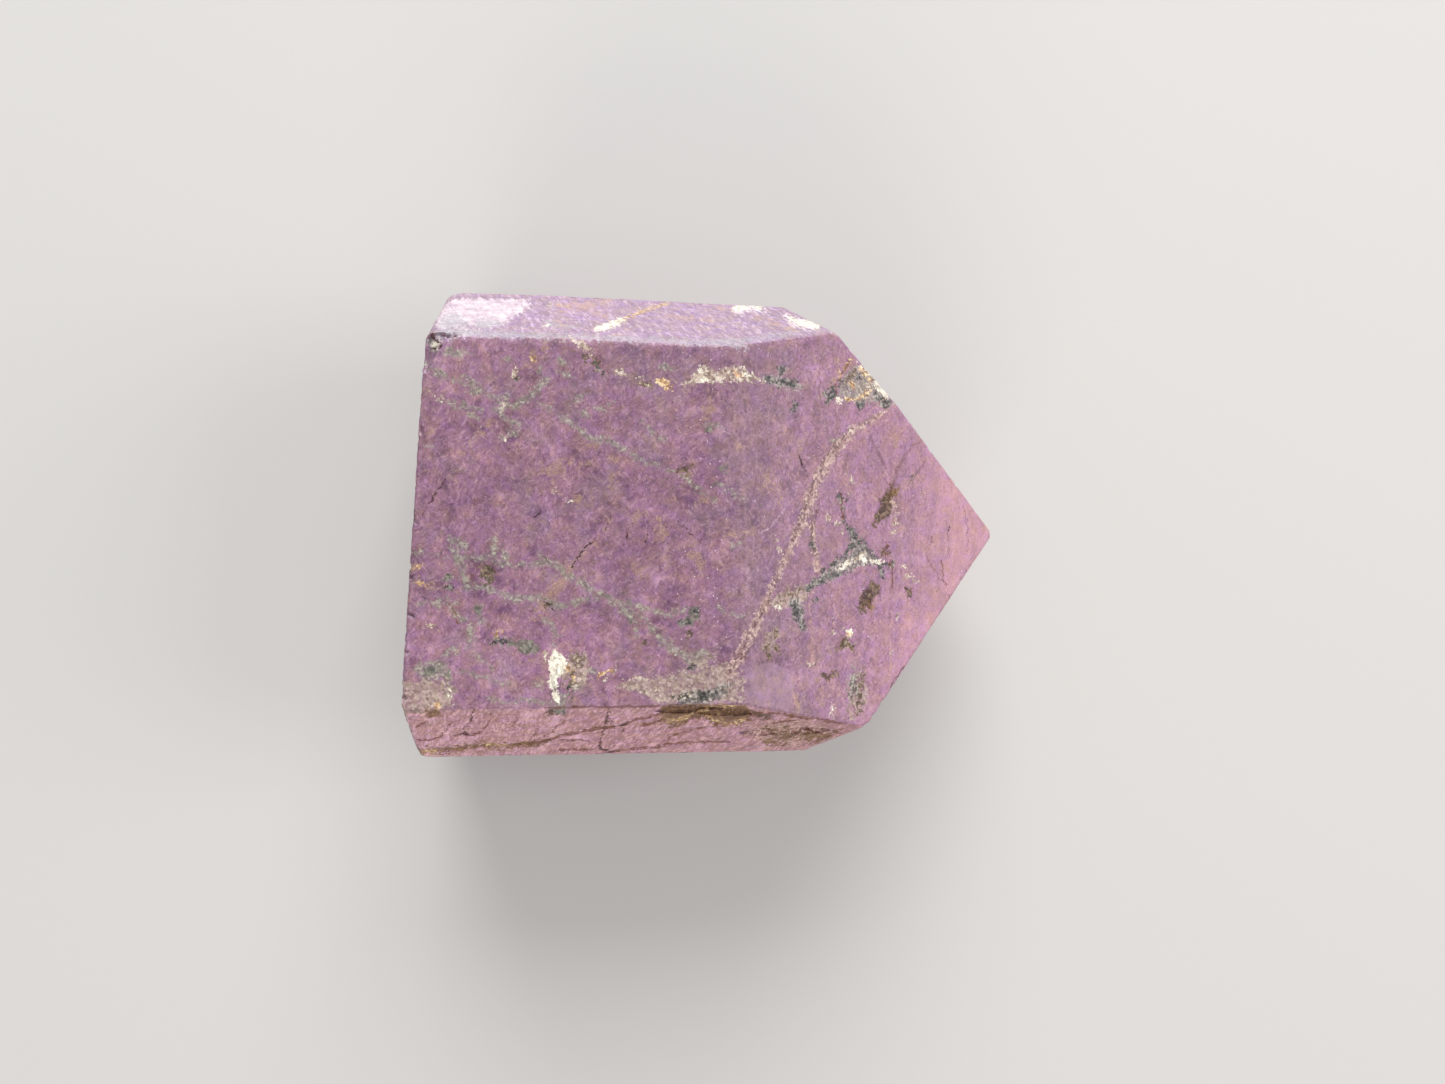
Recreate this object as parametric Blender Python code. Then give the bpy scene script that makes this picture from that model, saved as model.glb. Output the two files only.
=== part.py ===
# Purpurite point: one block of purple manganese phosphate, ground flat on all its
# sides, cut square at the base and brought to a point, lying on its lower face.
# Metres, +Z up, +X from the base towards the point. The origin is on the surface
# that the stone lies on, under the middle of its bounding box.

import math

import bmesh
import bpy
from mathutils import Euler, Vector, noise

MM = 0.001

# Driving dimensions, in millimetres. The middle of the block is half its thickness
# above the surface that the stone lies on.
THICKNESS = 40.0
MIDDLE = Vector((0.0, 0.0, THICKNESS / 2))
ROUGH_BLOCK = Vector((130.0, 100.0, 2 * THICKNESS))

# Each facet is one flat grind: the way it faces, as azimuth about +Z from +X and
# elevation above the horizon in degrees, and how far it lies from the middle of
# the block.
FACETS = {
    "top_face": (0.0, 89.0, 20.07),
    "left_upper_back": (88.8, 25.1, 28.34),
    "left_upper": (86.9, 24.7, 27.78),
    "right_upper": (-88.8, 24.9, 28.37),
    "left_lower": (87.6, -22.0, 28.42),
    "right_lower": (-89.5, -27.0, 27.93),
    "resting_face": (0.0, -90.0, 20.0),
    "base_cut": (176.3, 7.2, 34.85),
    "tip_upper": (2.2, 58.0, 20.15),
    "tip_left_back": (45.1, -1.0, 30.35),
    "tip_left": (41.4, -1.5, 30.78),
    "tip_right": (-41.9, -10.6, 32.05),
    "tip_lower": (-2.0, -57.0, 25.4),
}

# The radius that wear has given the ridge between two facets. Pairs that aren't
# named have the radius of a plain ridge.
RIDGE_RADIUS = 0.5
WORN_RIDGES = {
    ("top_face", "tip_upper"): 6.5,
    ("left_upper", "left_lower"): 1.7,
    ("left_upper_back", "left_lower"): 1.7,
    ("right_upper", "right_lower"): 1.5,
    ("left_upper_back", "base_cut"): 1.1,
    ("left_lower", "base_cut"): 1.1,
    ("right_upper", "base_cut"): 0.9,
    ("right_lower", "base_cut"): 0.9,
    ("left_upper", "tip_left_back"): 1.4,
    ("left_lower", "tip_left_back"): 1.4,
    ("right_upper", "tip_right"): 1.6,
    ("right_lower", "tip_right"): 1.6,
    ("tip_left", "tip_right"): 0.5,
}
STRIPS = 3
FLAT_RIDGE = math.radians(6.0)

# Corners that stuck out and are worn further: the facets that meet there, and how
# much is gone.
WORN_CORNERS = {
    ("base_cut", "left_upper_back", "left_lower"): 1.1,
    ("base_cut", "right_upper", "right_lower"): 0.8,
    ("tip_upper", "tip_left", "tip_right"): 0.45,
    ("tip_upper", "tip_left_back", "left_upper"): 0.35,
    ("tip_upper", "tip_right", "right_upper"): 0.4,
}

# Places where the rock broke away or weathered out. Each has the x and y of its
# middle, the side of the stone that it is on, how far outside the surface its
# middle is, its half-sizes, and its turn about +Z in degrees.
UPPER = 1
LOWER = -1
HOLLOWS = {
    "corner_break": (-31.2, 20.9, UPPER, 0.3, (1.5, 2.9, 1.7), -12.0),
    "corner_flake": (-29.2, 22.6, UPPER, 0.5, (2.0, 0.9, 1.4), 4.0),
    "limonite_gap_1": (0.2, -22.9, UPPER, 0.3, (3.5, 0.9, 1.0), 2.0),
    "limonite_gap_2": (4.9, -23.6, UPPER, 0.5, (3.4, 1.1, 1.1), -5.0),
    "gossan_scar_1": (9.6, -27.4, UPPER, 1.2, (3.0, 1.3, 1.9), 4.0),
    "gossan_scar_2": (15.0, -27.2, UPPER, 1.2, (3.2, 1.1, 1.9), 10.0),
    "tip_pit_1": (26.0, 2.5, UPPER, 0.45, (0.9, 2.2, 0.9), -16.0),
    "tip_pit_2": (23.3, -9.4, UPPER, 0.4, (0.8, 1.9, 0.85), -16.0),
    "tip_pit_3": (22.2, -21.6, UPPER, 0.6, (0.9, 2.6, 0.85), -8.0),
    "quartz_pit": (-15.2, -18.9, UPPER, 0.6, (0.9, 2.3, 0.8), 2.0),
    "ridge_pit": (24.2, 18.6, UPPER, 0.5, (1.2, 2.4, 0.9), 38.0),
    "heel_break": (-35.6, 23.2, LOWER, 0.2, (2.4, 1.8, 1.6), -30.0),
    "heel_flake": (-37.0, -22.6, LOWER, 0.3, (2.0, 2.4, 1.9), 25.0),
    "belly_pit": (6.0, 8.0, LOWER, 0.5, (2.3, 0.9, 0.9), 20.0),
    "belly_gap": (-8.0, -21.4, LOWER, 0.25, (3.6, 0.9, 1.1), -3.0),
}

# Small nicks along the rim between the top face and the base: the y of each, its
# half-length and its half-depth.
RIM_NICKS = (
    (18.7, 0.8, 0.55),
    (15.2, 0.6, 0.35),
    (11.3, 1.0, 0.4),
    (5.6, 0.5, 0.3),
    (0.4, 0.9, 0.35),
    (-6.4, 0.6, 0.45),
    (-10.8, 1.1, 0.35),
    (-15.4, 0.6, 0.3),
    (-20.9, 0.9, 0.45),
)
NICK_TURN = 11.0

# The lumps of broken rock: how close together they are, and how high, for a hollow
# of half-size one. A hollow no larger than a small nick is made of fewer faces.
LUMPS = ((1.2, 0.42), (2.9, 0.2))
SMALL_NICK = 1.5
SLIVER = 0.02

STONE_NAME = "purpurite_point"
STONE_COLOUR = (0.24, 0.10, 0.20, 1.0)
STONE_POLISH = 0.42


def clear_scene():
    for thing in list(bpy.data.objects):
        bpy.data.objects.remove(thing, do_unlink=True)


def new_collection(name):
    collection = bpy.data.collections.new(name)
    bpy.context.scene.collection.children.link(collection)
    return collection


def facing(azimuth, elevation):
    """The unit vector of a facet that faces this way."""
    a = math.radians(azimuth)
    e = math.radians(elevation)
    return Vector((math.cos(a) * math.cos(e), math.sin(a) * math.cos(e), math.sin(e)))


def facet_plane(name):
    """The outward direction of a facet and how far out it lies."""
    azimuth, elevation, reach = FACETS[name]
    return facing(azimuth, elevation), reach


def meeting_point(planes):
    """The point that lies on all three planes, from the middle of the block."""
    (a, reach_a), (b, reach_b), (c, reach_c) = planes
    volume = a.dot(b.cross(c))
    return (b.cross(c) * reach_a + c.cross(a) * reach_b + a.cross(b) * reach_c) / volume


def grind(bm, outward, reach):
    """Takes off all that lies beyond one plane and closes the cut with one face."""
    cut = bmesh.ops.bisect_plane(
        bm,
        geom=[*bm.verts, *bm.edges, *bm.faces],
        plane_co=(MIDDLE + outward * reach) * MM,
        plane_no=outward,
        clear_outer=True,
    )
    rim = [edge for edge in cut["geom_cut"] if isinstance(edge, bmesh.types.BMEdge)]
    return bmesh.ops.contextual_create(bm, geom=rim)["faces"]


def grind_facets(bm):
    """Grinds every facet, and returns the pairs of facets that share a ridge."""
    label = bm.faces.layers.int.new("facet")
    for index, name in enumerate(FACETS):
        for face in grind(bm, *facet_plane(name)):
            face[label] = index
    names = list(FACETS)
    pairs = {tuple(sorted(face[label] for face in edge.link_faces)) for edge in bm.edges}
    return [(names[first], names[second]) for first, second in sorted(pairs)]


def wear_ridge(bm, pair):
    """Rounds one ridge with narrow strips, each tangent to a rod along the ridge."""
    (a, reach_a), (b, reach_b) = facet_plane(pair[0]), facet_plane(pair[1])
    if a.angle(b) < FLAT_RIDGE:
        return
    radius = WORN_RIDGES.get(pair, WORN_RIDGES.get(pair[::-1], RIDGE_RADIUS))
    cosine = a.dot(b)
    for strip in range(1, STRIPS + 1):
        outward = a.slerp(b, strip / (STRIPS + 1))
        share_a = (outward.dot(a) - outward.dot(b) * cosine) / (1 - cosine**2)
        share_b = (outward.dot(b) - outward.dot(a) * cosine) / (1 - cosine**2)
        rod = share_a * (reach_a - radius) + share_b * (reach_b - radius)
        grind(bm, outward, rod + radius)


def wear_corner(bm, names, depth):
    """Takes the point off the corner where three facets meet."""
    planes = [facet_plane(name) for name in names]
    outward = sum((plane[0] for plane in planes), Vector()).normalized()
    grind(bm, outward, meeting_point(planes).dot(outward) - depth)


def grind_stone():
    """The block with every facet on it and its ridges and corners worn round."""
    bm = bmesh.new()
    bmesh.ops.create_cube(bm, size=1.0)
    bmesh.ops.scale(bm, vec=ROUGH_BLOCK * MM, verts=bm.verts)
    bmesh.ops.translate(bm, vec=MIDDLE * MM, verts=bm.verts)
    for pair in grind_facets(bm):
        wear_ridge(bm, pair)
    for names, depth in WORN_CORNERS.items():
        wear_corner(bm, names, depth)
    bmesh.ops.dissolve_degenerate(bm, dist=SLIVER * MM, edges=bm.edges)
    bmesh.ops.recalc_face_normals(bm, faces=bm.faces)
    mesh = bpy.data.meshes.new(STONE_NAME)
    bm.to_mesh(mesh)
    bm.free()
    return mesh


def surface_height(x, y, side):
    """How high the upper or lower surface is over a point."""
    heights = []
    for name in FACETS:
        outward, reach = facet_plane(name)
        if outward.z * side > 0.1:
            heights.append((reach - outward.x * x - outward.y * y) / outward.z)
    return MIDDLE.z + (min(heights) if side == UPPER else max(heights))


def rim_point(y):
    """Where the top face meets the base at this y."""
    across = (Vector((0.0, 1.0, 0.0)), y)
    return MIDDLE + meeting_point((facet_plane("top_face"), facet_plane("base_cut"), across))


def rough_hollow(name, middle, half_sizes, turn, seed, collection):
    """A cutter with the lumpy form of broken rock."""
    bm = bmesh.new()
    fineness = 3 if max(half_sizes) > SMALL_NICK else 2
    bmesh.ops.create_icosphere(bm, subdivisions=fineness, radius=1.0)
    offset = Vector((seed * 3.1, seed * 1.7, seed * 2.3))
    for vert in bm.verts:
        swell = [size * noise.noise(vert.co * grain + offset) for grain, size in LUMPS]
        vert.co *= 1.0 + sum(swell)
    bmesh.ops.scale(bm, vec=Vector(half_sizes) * MM, verts=bm.verts)
    mesh = bpy.data.meshes.new(name)
    bm.to_mesh(mesh)
    bm.free()
    cutter = bpy.data.objects.new(name, mesh)
    cutter.location = Vector(middle) * MM
    cutter.rotation_euler = Euler((0.0, 0.0, math.radians(turn)))
    cutter.hide_render = True
    cutter.display_type = "WIRE"
    collection.objects.link(cutter)


def break_out(stone, collection):
    """Cuts every hollow and nick out of the stone."""
    for seed, (name, hollow) in enumerate(HOLLOWS.items()):
        x, y, side, lift, half_sizes, turn = hollow
        middle = (x, y, surface_height(x, y, side) + side * lift)
        rough_hollow(name, middle, half_sizes, turn, seed, collection)
    for seed, (y, half_length, half_depth) in enumerate(RIM_NICKS):
        half_sizes = (half_depth, half_length, half_depth)
        turn = NICK_TURN * seed
        shape = len(HOLLOWS) + seed
        rough_hollow(f"rim_nick_{seed}", rim_point(y), half_sizes, turn, shape, collection)
    boolean = stone.modifiers.new("hollows", "BOOLEAN")
    boolean.operation = "DIFFERENCE"
    boolean.operand_type = "COLLECTION"
    boolean.collection = collection
    boolean.solver = "EXACT"


def stone_material():
    material = bpy.data.materials.new("polished_purpurite")
    material.use_nodes = True
    surface = material.node_tree.nodes["Principled BSDF"]
    surface.inputs["Base Color"].default_value = STONE_COLOUR
    surface.inputs["Roughness"].default_value = STONE_POLISH
    surface.inputs["Metallic"].default_value = 0.0
    material.diffuse_color = STONE_COLOUR
    return material


def set_down(stone, cutters):
    """Moves the stone so that the middle of its bounding box is over the origin."""
    bpy.context.view_layer.update()
    corners = [stone.matrix_world @ Vector(corner) for corner in stone.bound_box]
    low = Vector([min(corner[axis] for corner in corners) for axis in range(3)])
    high = Vector([max(corner[axis] for corner in corners) for axis in range(3)])
    shift = Vector((-(low.x + high.x) / 2, -(low.y + high.y) / 2, -low.z))
    for thing in (stone, *cutters.objects):
        thing.location += shift


def main():
    clear_scene()
    parts = new_collection("purpurite")
    cutters = new_collection("cutters")
    mesh = grind_stone()
    mesh.materials.append(stone_material())
    stone = bpy.data.objects.new(STONE_NAME, mesh)
    parts.objects.link(stone)
    break_out(stone, cutters)
    set_down(stone, cutters)


main()
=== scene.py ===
import math

import bmesh
import bpy
import numpy as np
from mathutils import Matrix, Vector
from mathutils.bvhtree import BVHTree
from mathutils.geometry import delaunay_2d_cdt
from mathutils.kdtree import KDTree


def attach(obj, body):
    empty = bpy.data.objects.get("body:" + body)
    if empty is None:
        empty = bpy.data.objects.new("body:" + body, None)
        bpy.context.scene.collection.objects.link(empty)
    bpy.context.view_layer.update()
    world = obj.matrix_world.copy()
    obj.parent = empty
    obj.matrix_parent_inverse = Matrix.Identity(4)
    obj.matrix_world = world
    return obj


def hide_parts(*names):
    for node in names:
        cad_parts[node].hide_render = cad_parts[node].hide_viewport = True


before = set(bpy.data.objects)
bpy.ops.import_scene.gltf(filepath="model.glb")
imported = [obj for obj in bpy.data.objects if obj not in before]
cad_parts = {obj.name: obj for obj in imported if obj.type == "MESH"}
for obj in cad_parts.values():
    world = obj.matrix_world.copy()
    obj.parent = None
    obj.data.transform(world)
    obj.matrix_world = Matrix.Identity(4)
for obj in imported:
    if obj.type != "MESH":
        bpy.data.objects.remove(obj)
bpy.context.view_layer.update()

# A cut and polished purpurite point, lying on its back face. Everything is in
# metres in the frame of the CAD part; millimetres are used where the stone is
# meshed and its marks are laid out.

mm = 0.001
scene = bpy.context.scene


# camera

cameraPlan = {
    "place": (3.014, -2.364, 177.6),     # mm, looking straight down
    "photoWidth": 1445,
    "photoHeight": 1084,
    "focalPixels": 1150.0,
    "sensorWidth": 36.0,        # mm
    "nearest": 0.01,            # m, the nearest and farthest that it sees
    "farthest": 20.0,
}


def makeCamera(plan):
    lens = bpy.data.cameras.new("photoCamera")
    lens.sensor_fit = "HORIZONTAL"
    lens.sensor_width = plan["sensorWidth"]
    lens.lens = plan["sensorWidth"] * plan["focalPixels"] / plan["photoWidth"]
    lens.clip_start = plan["nearest"]
    lens.clip_end = plan["farthest"]
    camera = bpy.data.objects.new("photoCamera", lens)
    camera.location = Vector(plan["place"]) * mm
    scene.collection.objects.link(camera)
    scene.camera = camera


makeCamera(cameraPlan)
print("camera in place")


# node helpers

def paint(red, green, blue):
    # a colour as it looks on the screen, 0 to 255, made linear
    linear = []
    for part in (red, green, blue):
        part = part / 255
        linear.append(part / 12.92 if part <= 0.04045 else ((part + 0.055) / 1.055) ** 2.4)
    return (*linear, 1.0)


def put(tree, socket, value):
    if isinstance(value, bpy.types.NodeSocket):
        tree.links.new(value, socket)
    else:
        socket.default_value = value


def addNode(tree, kind, inputs=None, **settings):
    made = tree.nodes.new(kind)
    for name, value in settings.items():
        setattr(made, name, value)
    for key, value in (inputs or {}).items():
        put(tree, made.inputs[key], value)
    return made


def sums(tree, operation, *values):
    return addNode(tree, "ShaderNodeMath", dict(enumerate(values)), operation=operation).outputs[0]


def times(tree, *values):
    result = values[0]
    for value in values[1:]:
        result = sums(tree, "MULTIPLY", result, value)
    return result


def vectors(tree, operation, *values):
    made = addNode(tree, "ShaderNodeVectorMath", dict(enumerate(values)), operation=operation)
    return made.outputs["Value" if operation == "DOT_PRODUCT" else "Vector"]


def scaled(tree, vector, amount):
    return addNode(tree, "ShaderNodeVectorMath", {0: vector, "Scale": amount},
                   operation="SCALE").outputs[0]


def threeValues(tree, *values):
    return addNode(tree, "ShaderNodeCombineXYZ", dict(enumerate(values))).outputs[0]


def linearRange(tree, value, low, high, outLow, outHigh, **settings):
    return addNode(tree, "ShaderNodeMapRange",
                   {"Value": value, "From Min": low, "From Max": high,
                    "To Min": outLow, "To Max": outHigh}, **settings).outputs[0]


def ease(tree, value, low, high, outLow=0.0, outHigh=1.0):
    # a soft step from outLow to outHigh while value goes from low to high
    return linearRange(tree, value, low, high, outLow, outHigh, interpolation_type="SMOOTHSTEP")


def mixValue(tree, share, under, over):
    return addNode(tree, "ShaderNodeMix", {0: share, 2: under, 3: over}).outputs[0]


def blend(tree, share, under, over, mode="MIX"):
    made = addNode(tree, "ShaderNodeMix", {0: share, 6: under, 7: over}, data_type="RGBA")
    made.blend_type = mode
    return made.outputs[2]


def coat(tree, under, over, *shares):
    # a colour over another, as far as the shares give when multiplied
    return blend(tree, times(tree, *shares), under, over)


def rampColour(tree, value, stops):
    made = addNode(tree, "ShaderNodeValToRGB", {0: value})
    band = made.color_ramp
    while len(band.elements) < len(stops):
        band.elements.new(0.5)
    for element, (place, colour) in zip(band.elements, stops):
        element.position = place
        element.color = colour
    return made.outputs[0]


def noise(tree, place, scale, detail=2.0, roughness=0.5, distortion=0.0, output=0):
    return addNode(tree, "ShaderNodeTexNoise",
                   {"Vector": place, "Scale": scale, "Detail": detail,
                    "Roughness": roughness, "Distortion": distortion}).outputs[output]


def cells(tree, place, scale, channel, splitter="ShaderNodeSeparateColor"):
    # the distance from the middle of a random cell, and a random value of that cell
    made = addNode(tree, "ShaderNodeTexVoronoi", {"Vector": place, "Scale": scale})
    split = addNode(tree, splitter, {0: made.outputs["Color"]})
    return made.outputs["Distance"], split.outputs[channel]


def mark(tree, name):
    return addNode(tree, "ShaderNodeAttribute", attribute_name=name).outputs["Fac"]


def newGroup(name, ins, out):
    group = bpy.data.node_groups.new(name, "ShaderNodeTree")
    for label, kind, value in ins:
        socket = group.interface.new_socket(label, in_out="INPUT", socket_type=kind)
        if value is not None:
            socket.default_value = value
    group.interface.new_socket(out, in_out="OUTPUT", socket_type="NodeSocketFloat")
    start = group.nodes.new("NodeGroupInput")
    end = group.nodes.new("NodeGroupOutput")
    return group, start.outputs, end.inputs[out]


def useGroup(tree, group, inputs):
    made = tree.nodes.new("ShaderNodeGroup")
    made.node_tree = group
    for key, value in inputs.items():
        put(tree, made.inputs[key], value)
    return made.outputs[0]


# floor and light

roomPlan = {
    "floorSize": 3.0,           # m
    "floorColour": paint(203, 202, 199),
    "floorRoughness": 0.75,
    "floorSheen": 0.2,
    "worldColour": (0.93, 0.96, 1.0, 1.0),
    "worldStrength": 0.46,
    "lampsAim": (0.0, 0.0, 0.02),
}

lampPlan = {
    # where it stands in metres, its width and height, its power in watts, its colour
    "windowSide": ((0.05, 1.05, 0.66), (0.9, 0.7), 17.0, (1.0, 0.985, 0.97)),
    "pointSide": ((0.95, 0.05, 0.62), (0.6, 0.6), 4.5, (1.0, 0.96, 0.94)),
    "roomFill": ((-0.15, -0.95, 0.50), (0.8, 0.6), 4.5, (1.0, 0.90, 0.84)),
}


def makeFloor(plan):
    half = plan["floorSize"] / 2
    mesh = bpy.data.meshes.new("paleFloor")
    mesh.from_pydata([(-half, -half, 0), (half, -half, 0), (half, half, 0), (-half, half, 0)],
                     [], [(0, 1, 2, 3)])
    floor = bpy.data.objects.new("paleFloor", mesh)
    scene.collection.objects.link(floor)
    finish = bpy.data.materials.new("paleFloor")
    finish.use_nodes = True
    shader = finish.node_tree.nodes["Principled BSDF"]
    shader.inputs["Base Color"].default_value = plan["floorColour"]
    shader.inputs["Roughness"].default_value = plan["floorRoughness"]
    shader.inputs["Specular IOR Level"].default_value = plan["floorSheen"]
    mesh.materials.append(finish)


def makeLight(plan, lamps):
    world = bpy.data.worlds.new("softRoom")
    world.use_nodes = True
    sky = world.node_tree.nodes["Background"]
    sky.inputs["Color"].default_value = plan["worldColour"]
    sky.inputs["Strength"].default_value = plan["worldStrength"]
    scene.world = world
    for name, (place, size, power, colour) in lamps.items():
        lamp = bpy.data.lights.new(name, "AREA")
        lamp.shape = "RECTANGLE"
        lamp.size, lamp.size_y = size
        lamp.energy = power
        lamp.color = colour
        holder = bpy.data.objects.new(name, lamp)
        holder.location = place
        aim = Vector(plan["lampsAim"]) - Vector(place)
        holder.rotation_euler = aim.to_track_quat("-Z", "Y").to_euler()
        scene.collection.objects.link(holder)
    scene.view_settings.view_transform = "Standard"
    scene.view_settings.look = "None"


makeFloor(roomPlan)
makeLight(roomPlan, lampPlan)
print("floor and lamps in place")


# the stone's mesh

meshPlan = {
    "fineSpacing": 0.36,        # mm between points on the faces that are looked at
    "coarseSpacing": 0.66,      # mm on the underside
    "fineAbove": 17.0,          # mm; faces whose middle is higher are fine
    "weld": 0.001,              # mm; nearer points of the CAD mesh are one
    "flatAngle": 0.6,           # degrees; faces that differ less are one face
    "sliver": 0.02,             # mm; narrower faces are closed up
    "sliverRounds": 2,
    "thinFace": 0.01,           # mm; the mean width under which a face bounds no ridge
    "ridgeAngle": 3.0,          # degrees; sharper edges are ridges that wear
    "ridgeLength": 2.5,         # mm; shorter edges belong to breaks
    "ridgeSampling": 0.2,       # mm between the places that are kept of a ridge
    "jitter": 0.12,             # of the spacing, how far inner points are moved at random
    "clearance": 0.62,          # of the spacing, how far they stay from a face's edge
    "touching": 1e-6,           # mm; nearer points are one when a face is filled
    "seed": 7,
}


def mergeFlat(bm, degrees):
    # one face from neighbours that turn less than the given angle
    bmesh.ops.dissolve_limit(bm, angle_limit=math.radians(degrees), verts=bm.verts, edges=bm.edges)


def openStone(cad, plan):
    # the CAD mesh in millimetres, without the slivers that its cuts leave, which
    # would crease the polished faces
    bm = bmesh.new()
    bm.from_mesh(cad.data)
    bmesh.ops.scale(bm, vec=(1 / mm, 1 / mm, 1 / mm), verts=bm.verts)
    bmesh.ops.remove_doubles(bm, verts=bm.verts, dist=plan["weld"])
    for _ in range(plan["sliverRounds"]):
        mergeFlat(bm, plan["flatAngle"])
        bmesh.ops.dissolve_degenerate(bm, dist=plan["sliver"], edges=bm.edges)
    mergeFlat(bm, plan["flatAngle"])
    return bm


def spacingAt(middle, plan):
    return plan["fineSpacing"] if middle.z > plan["fineAbove"] else plan["coarseSpacing"]


def isRidge(edge, plan):
    length = edge.calc_length()
    sharp = edge.calc_face_angle(0.0) > math.radians(plan["ridgeAngle"])
    smallest = min(face.calc_area() for face in edge.link_faces)
    return sharp and length > plan["ridgeLength"] and smallest > plan["thinFace"] * length


def divideEdges(bm, plan):
    # every edge in even steps; what it gives back are places along the ridges
    ridgePoints = []
    for edge in list(bm.edges):
        length = edge.calc_length()
        start, end = edge.verts
        step = spacingAt((start.co + end.co) / 2, plan)
        if isRidge(edge, plan):
            steps = int(length / plan["ridgeSampling"]) + 1
            ridgePoints += [start.co.lerp(end.co, k / steps) for k in range(steps + 1)]
        for left in range(math.ceil(length / step), 1, -1):
            start = bmesh.utils.edge_split(edge, start, 1 / left)[1]
    return ridgePoints


def insideOutline(points, corners):
    inside = np.zeros(len(points), bool)
    for (ax, ay), (bx, by) in zip(corners, np.roll(corners, -1, axis=0)):
        if ay != by:
            crosses = (ay > points[:, 1]) != (by > points[:, 1])
            inside ^= crosses & (points[:, 0] < ax + (points[:, 1] - ay) * (bx - ax) / (by - ay))
    return inside


def gridInside(corners, spacing, plan, random):
    # staggered points inside a flat polygon, clear of its edge
    low = corners.min(axis=0)
    high = corners.max(axis=0)
    rowStep = spacing * math.sqrt(3) / 2
    rows = []
    for y in np.arange(low[1] + rowStep / 2, high[1], rowStep):
        shift = spacing / 2 if len(rows) % 2 else 0.0
        xs = np.arange(low[0] + shift, high[0], spacing)
        rows.append(np.stack([xs, np.full_like(xs, y)], axis=1))
    if not rows:
        return np.zeros((0, 2))
    points = np.concatenate(rows)
    points += random.uniform(-plan["jitter"], plan["jitter"], points.shape) * spacing
    points = points[insideOutline(points, corners)]
    rim = KDTree(len(corners))
    for i, corner in enumerate(corners):
        rim.insert((*corner, 0.0), i)
    rim.balance()
    clear = [rim.find((*point, 0.0))[2] > plan["clearance"] * spacing for point in points]
    return points[np.array(clear, bool)]


def fillFaces(bm, plan):
    # even points inside each face, joined to its edge by triangles
    random = np.random.default_rng(plan["seed"])
    places = [tuple(v.co) for v in bm.verts]
    triangles = []
    for face in bm.faces:
        middle = face.calc_center_median()
        out = face.normal.normalized()
        across = (face.verts[1].co - face.verts[0].co).normalized()
        across = (across - out * across.dot(out)).normalized()
        up = out.cross(across)
        indices = [v.index for v in face.verts]
        flat = np.array([((v.co - middle).dot(across), (v.co - middle).dot(up))
                         for v in face.verts])
        inner = gridInside(flat, spacingAt(middle, plan), plan, random)
        for x, y in inner:
            indices.append(len(places))
            places.append(tuple(middle + across * x + up * y))
        points = [Vector(p) for p in flat] + [Vector(p) for p in inner]
        made = delaunay_2d_cdt(points, [], [list(range(len(flat)))], 1, plan["touching"])
        source = [indices[ids[0]] if ids else -1 for ids in made[3]]
        for corners in made[2]:
            triple = tuple(source[i] for i in corners)
            if -1 not in triple and len(set(triple)) == 3:
                triangles.append(triple)
    return places, triangles


def meshStone(cad, plan):
    # the CAD faces, each filled with even triangles, so that its ridges stay exact
    bm = openStone(cad, plan)
    ridgePoints = divideEdges(bm, plan)
    bm.verts.index_update()
    bm.normal_update()
    places, triangles = fillFaces(bm, plan)
    bm.free()
    mesh = bpy.data.meshes.new("purpuriteStone")
    mesh.from_pydata([Vector(p) * mm for p in places], [], triangles)
    mesh.validate()
    mesh.shade_smooth()
    mesh.update()
    return mesh, ridgePoints


def readPoints(mesh, what):
    values = np.zeros(len(mesh.vertices) * 3, np.float32)
    mesh.vertices.foreach_get(what, values)
    return values.reshape(-1, 3).astype(float)


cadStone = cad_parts["purpurite_point"]
stoneMesh, ridgePoints = meshStone(cadStone, meshPlan)
stonePoints = readPoints(stoneMesh, "co") / mm
stoneFacings = readPoints(stoneMesh, "normal")
pointCount = len(stonePoints)
print("stone meshed:", pointCount, "points,", len(stoneMesh.polygons), "triangles")


# drawing boards

# A mark is laid out on a board: the photograph, or a flat view of a side that the
# photograph doesn't show. Board places are in photograph pixels, and on a flat
# board a pixel has a set size. The mark goes straight into the stone from there.

boardPlan = {
    "pixel": 0.12,              # mm on a flat board
    "before": 100,              # mm from the stone's middle, where a flat board looks from
    "missed": 20.0,             # mm, the height of a photograph's place beside the stone
}

solid = BVHTree.FromPolygons([Vector(p) for p in stonePoints],
                             [tuple(p.vertices) for p in stoneMesh.polygons])


class PhotoBoard:
    def __init__(self, plan):
        self.eye = Vector(plan["place"])
        self.focal = plan["focalPixels"]
        self.middle = (plan["photoWidth"] / 2, plan["photoHeight"] / 2)

    def lay(self, places):
        depth = self.eye.z - places[:, 2]
        x = self.middle[0] + self.focal * (places[:, 0] - self.eye.x) / depth
        y = self.middle[1] - self.focal * (places[:, 1] - self.eye.y) / depth
        return np.stack([x, y], axis=1), places[:, 2]

    def height(self, x, y):
        ray = Vector((x - self.middle[0], self.middle[1] - y, -self.focal)).normalized()
        hit = solid.ray_cast(self.eye, ray)[0]
        return hit.z if hit else boardPlan["missed"]


class FlatBoard:
    def __init__(self, right, up, out):
        self.right = Vector(right)
        self.up = Vector(up)
        self.out = Vector(out)

    def lay(self, places):
        x = places @ np.array(self.right) / boardPlan["pixel"]
        y = places @ np.array(self.up) / boardPlan["pixel"]
        return np.stack([x, y], axis=1), places @ np.array(self.out)

    def height(self, x, y):
        start = (self.right * x + self.up * y) * boardPlan["pixel"]
        hit = solid.ray_cast(start + self.out * boardPlan["before"], -self.out)[0]
        return hit.dot(self.out) if hit else 0.0


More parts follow.
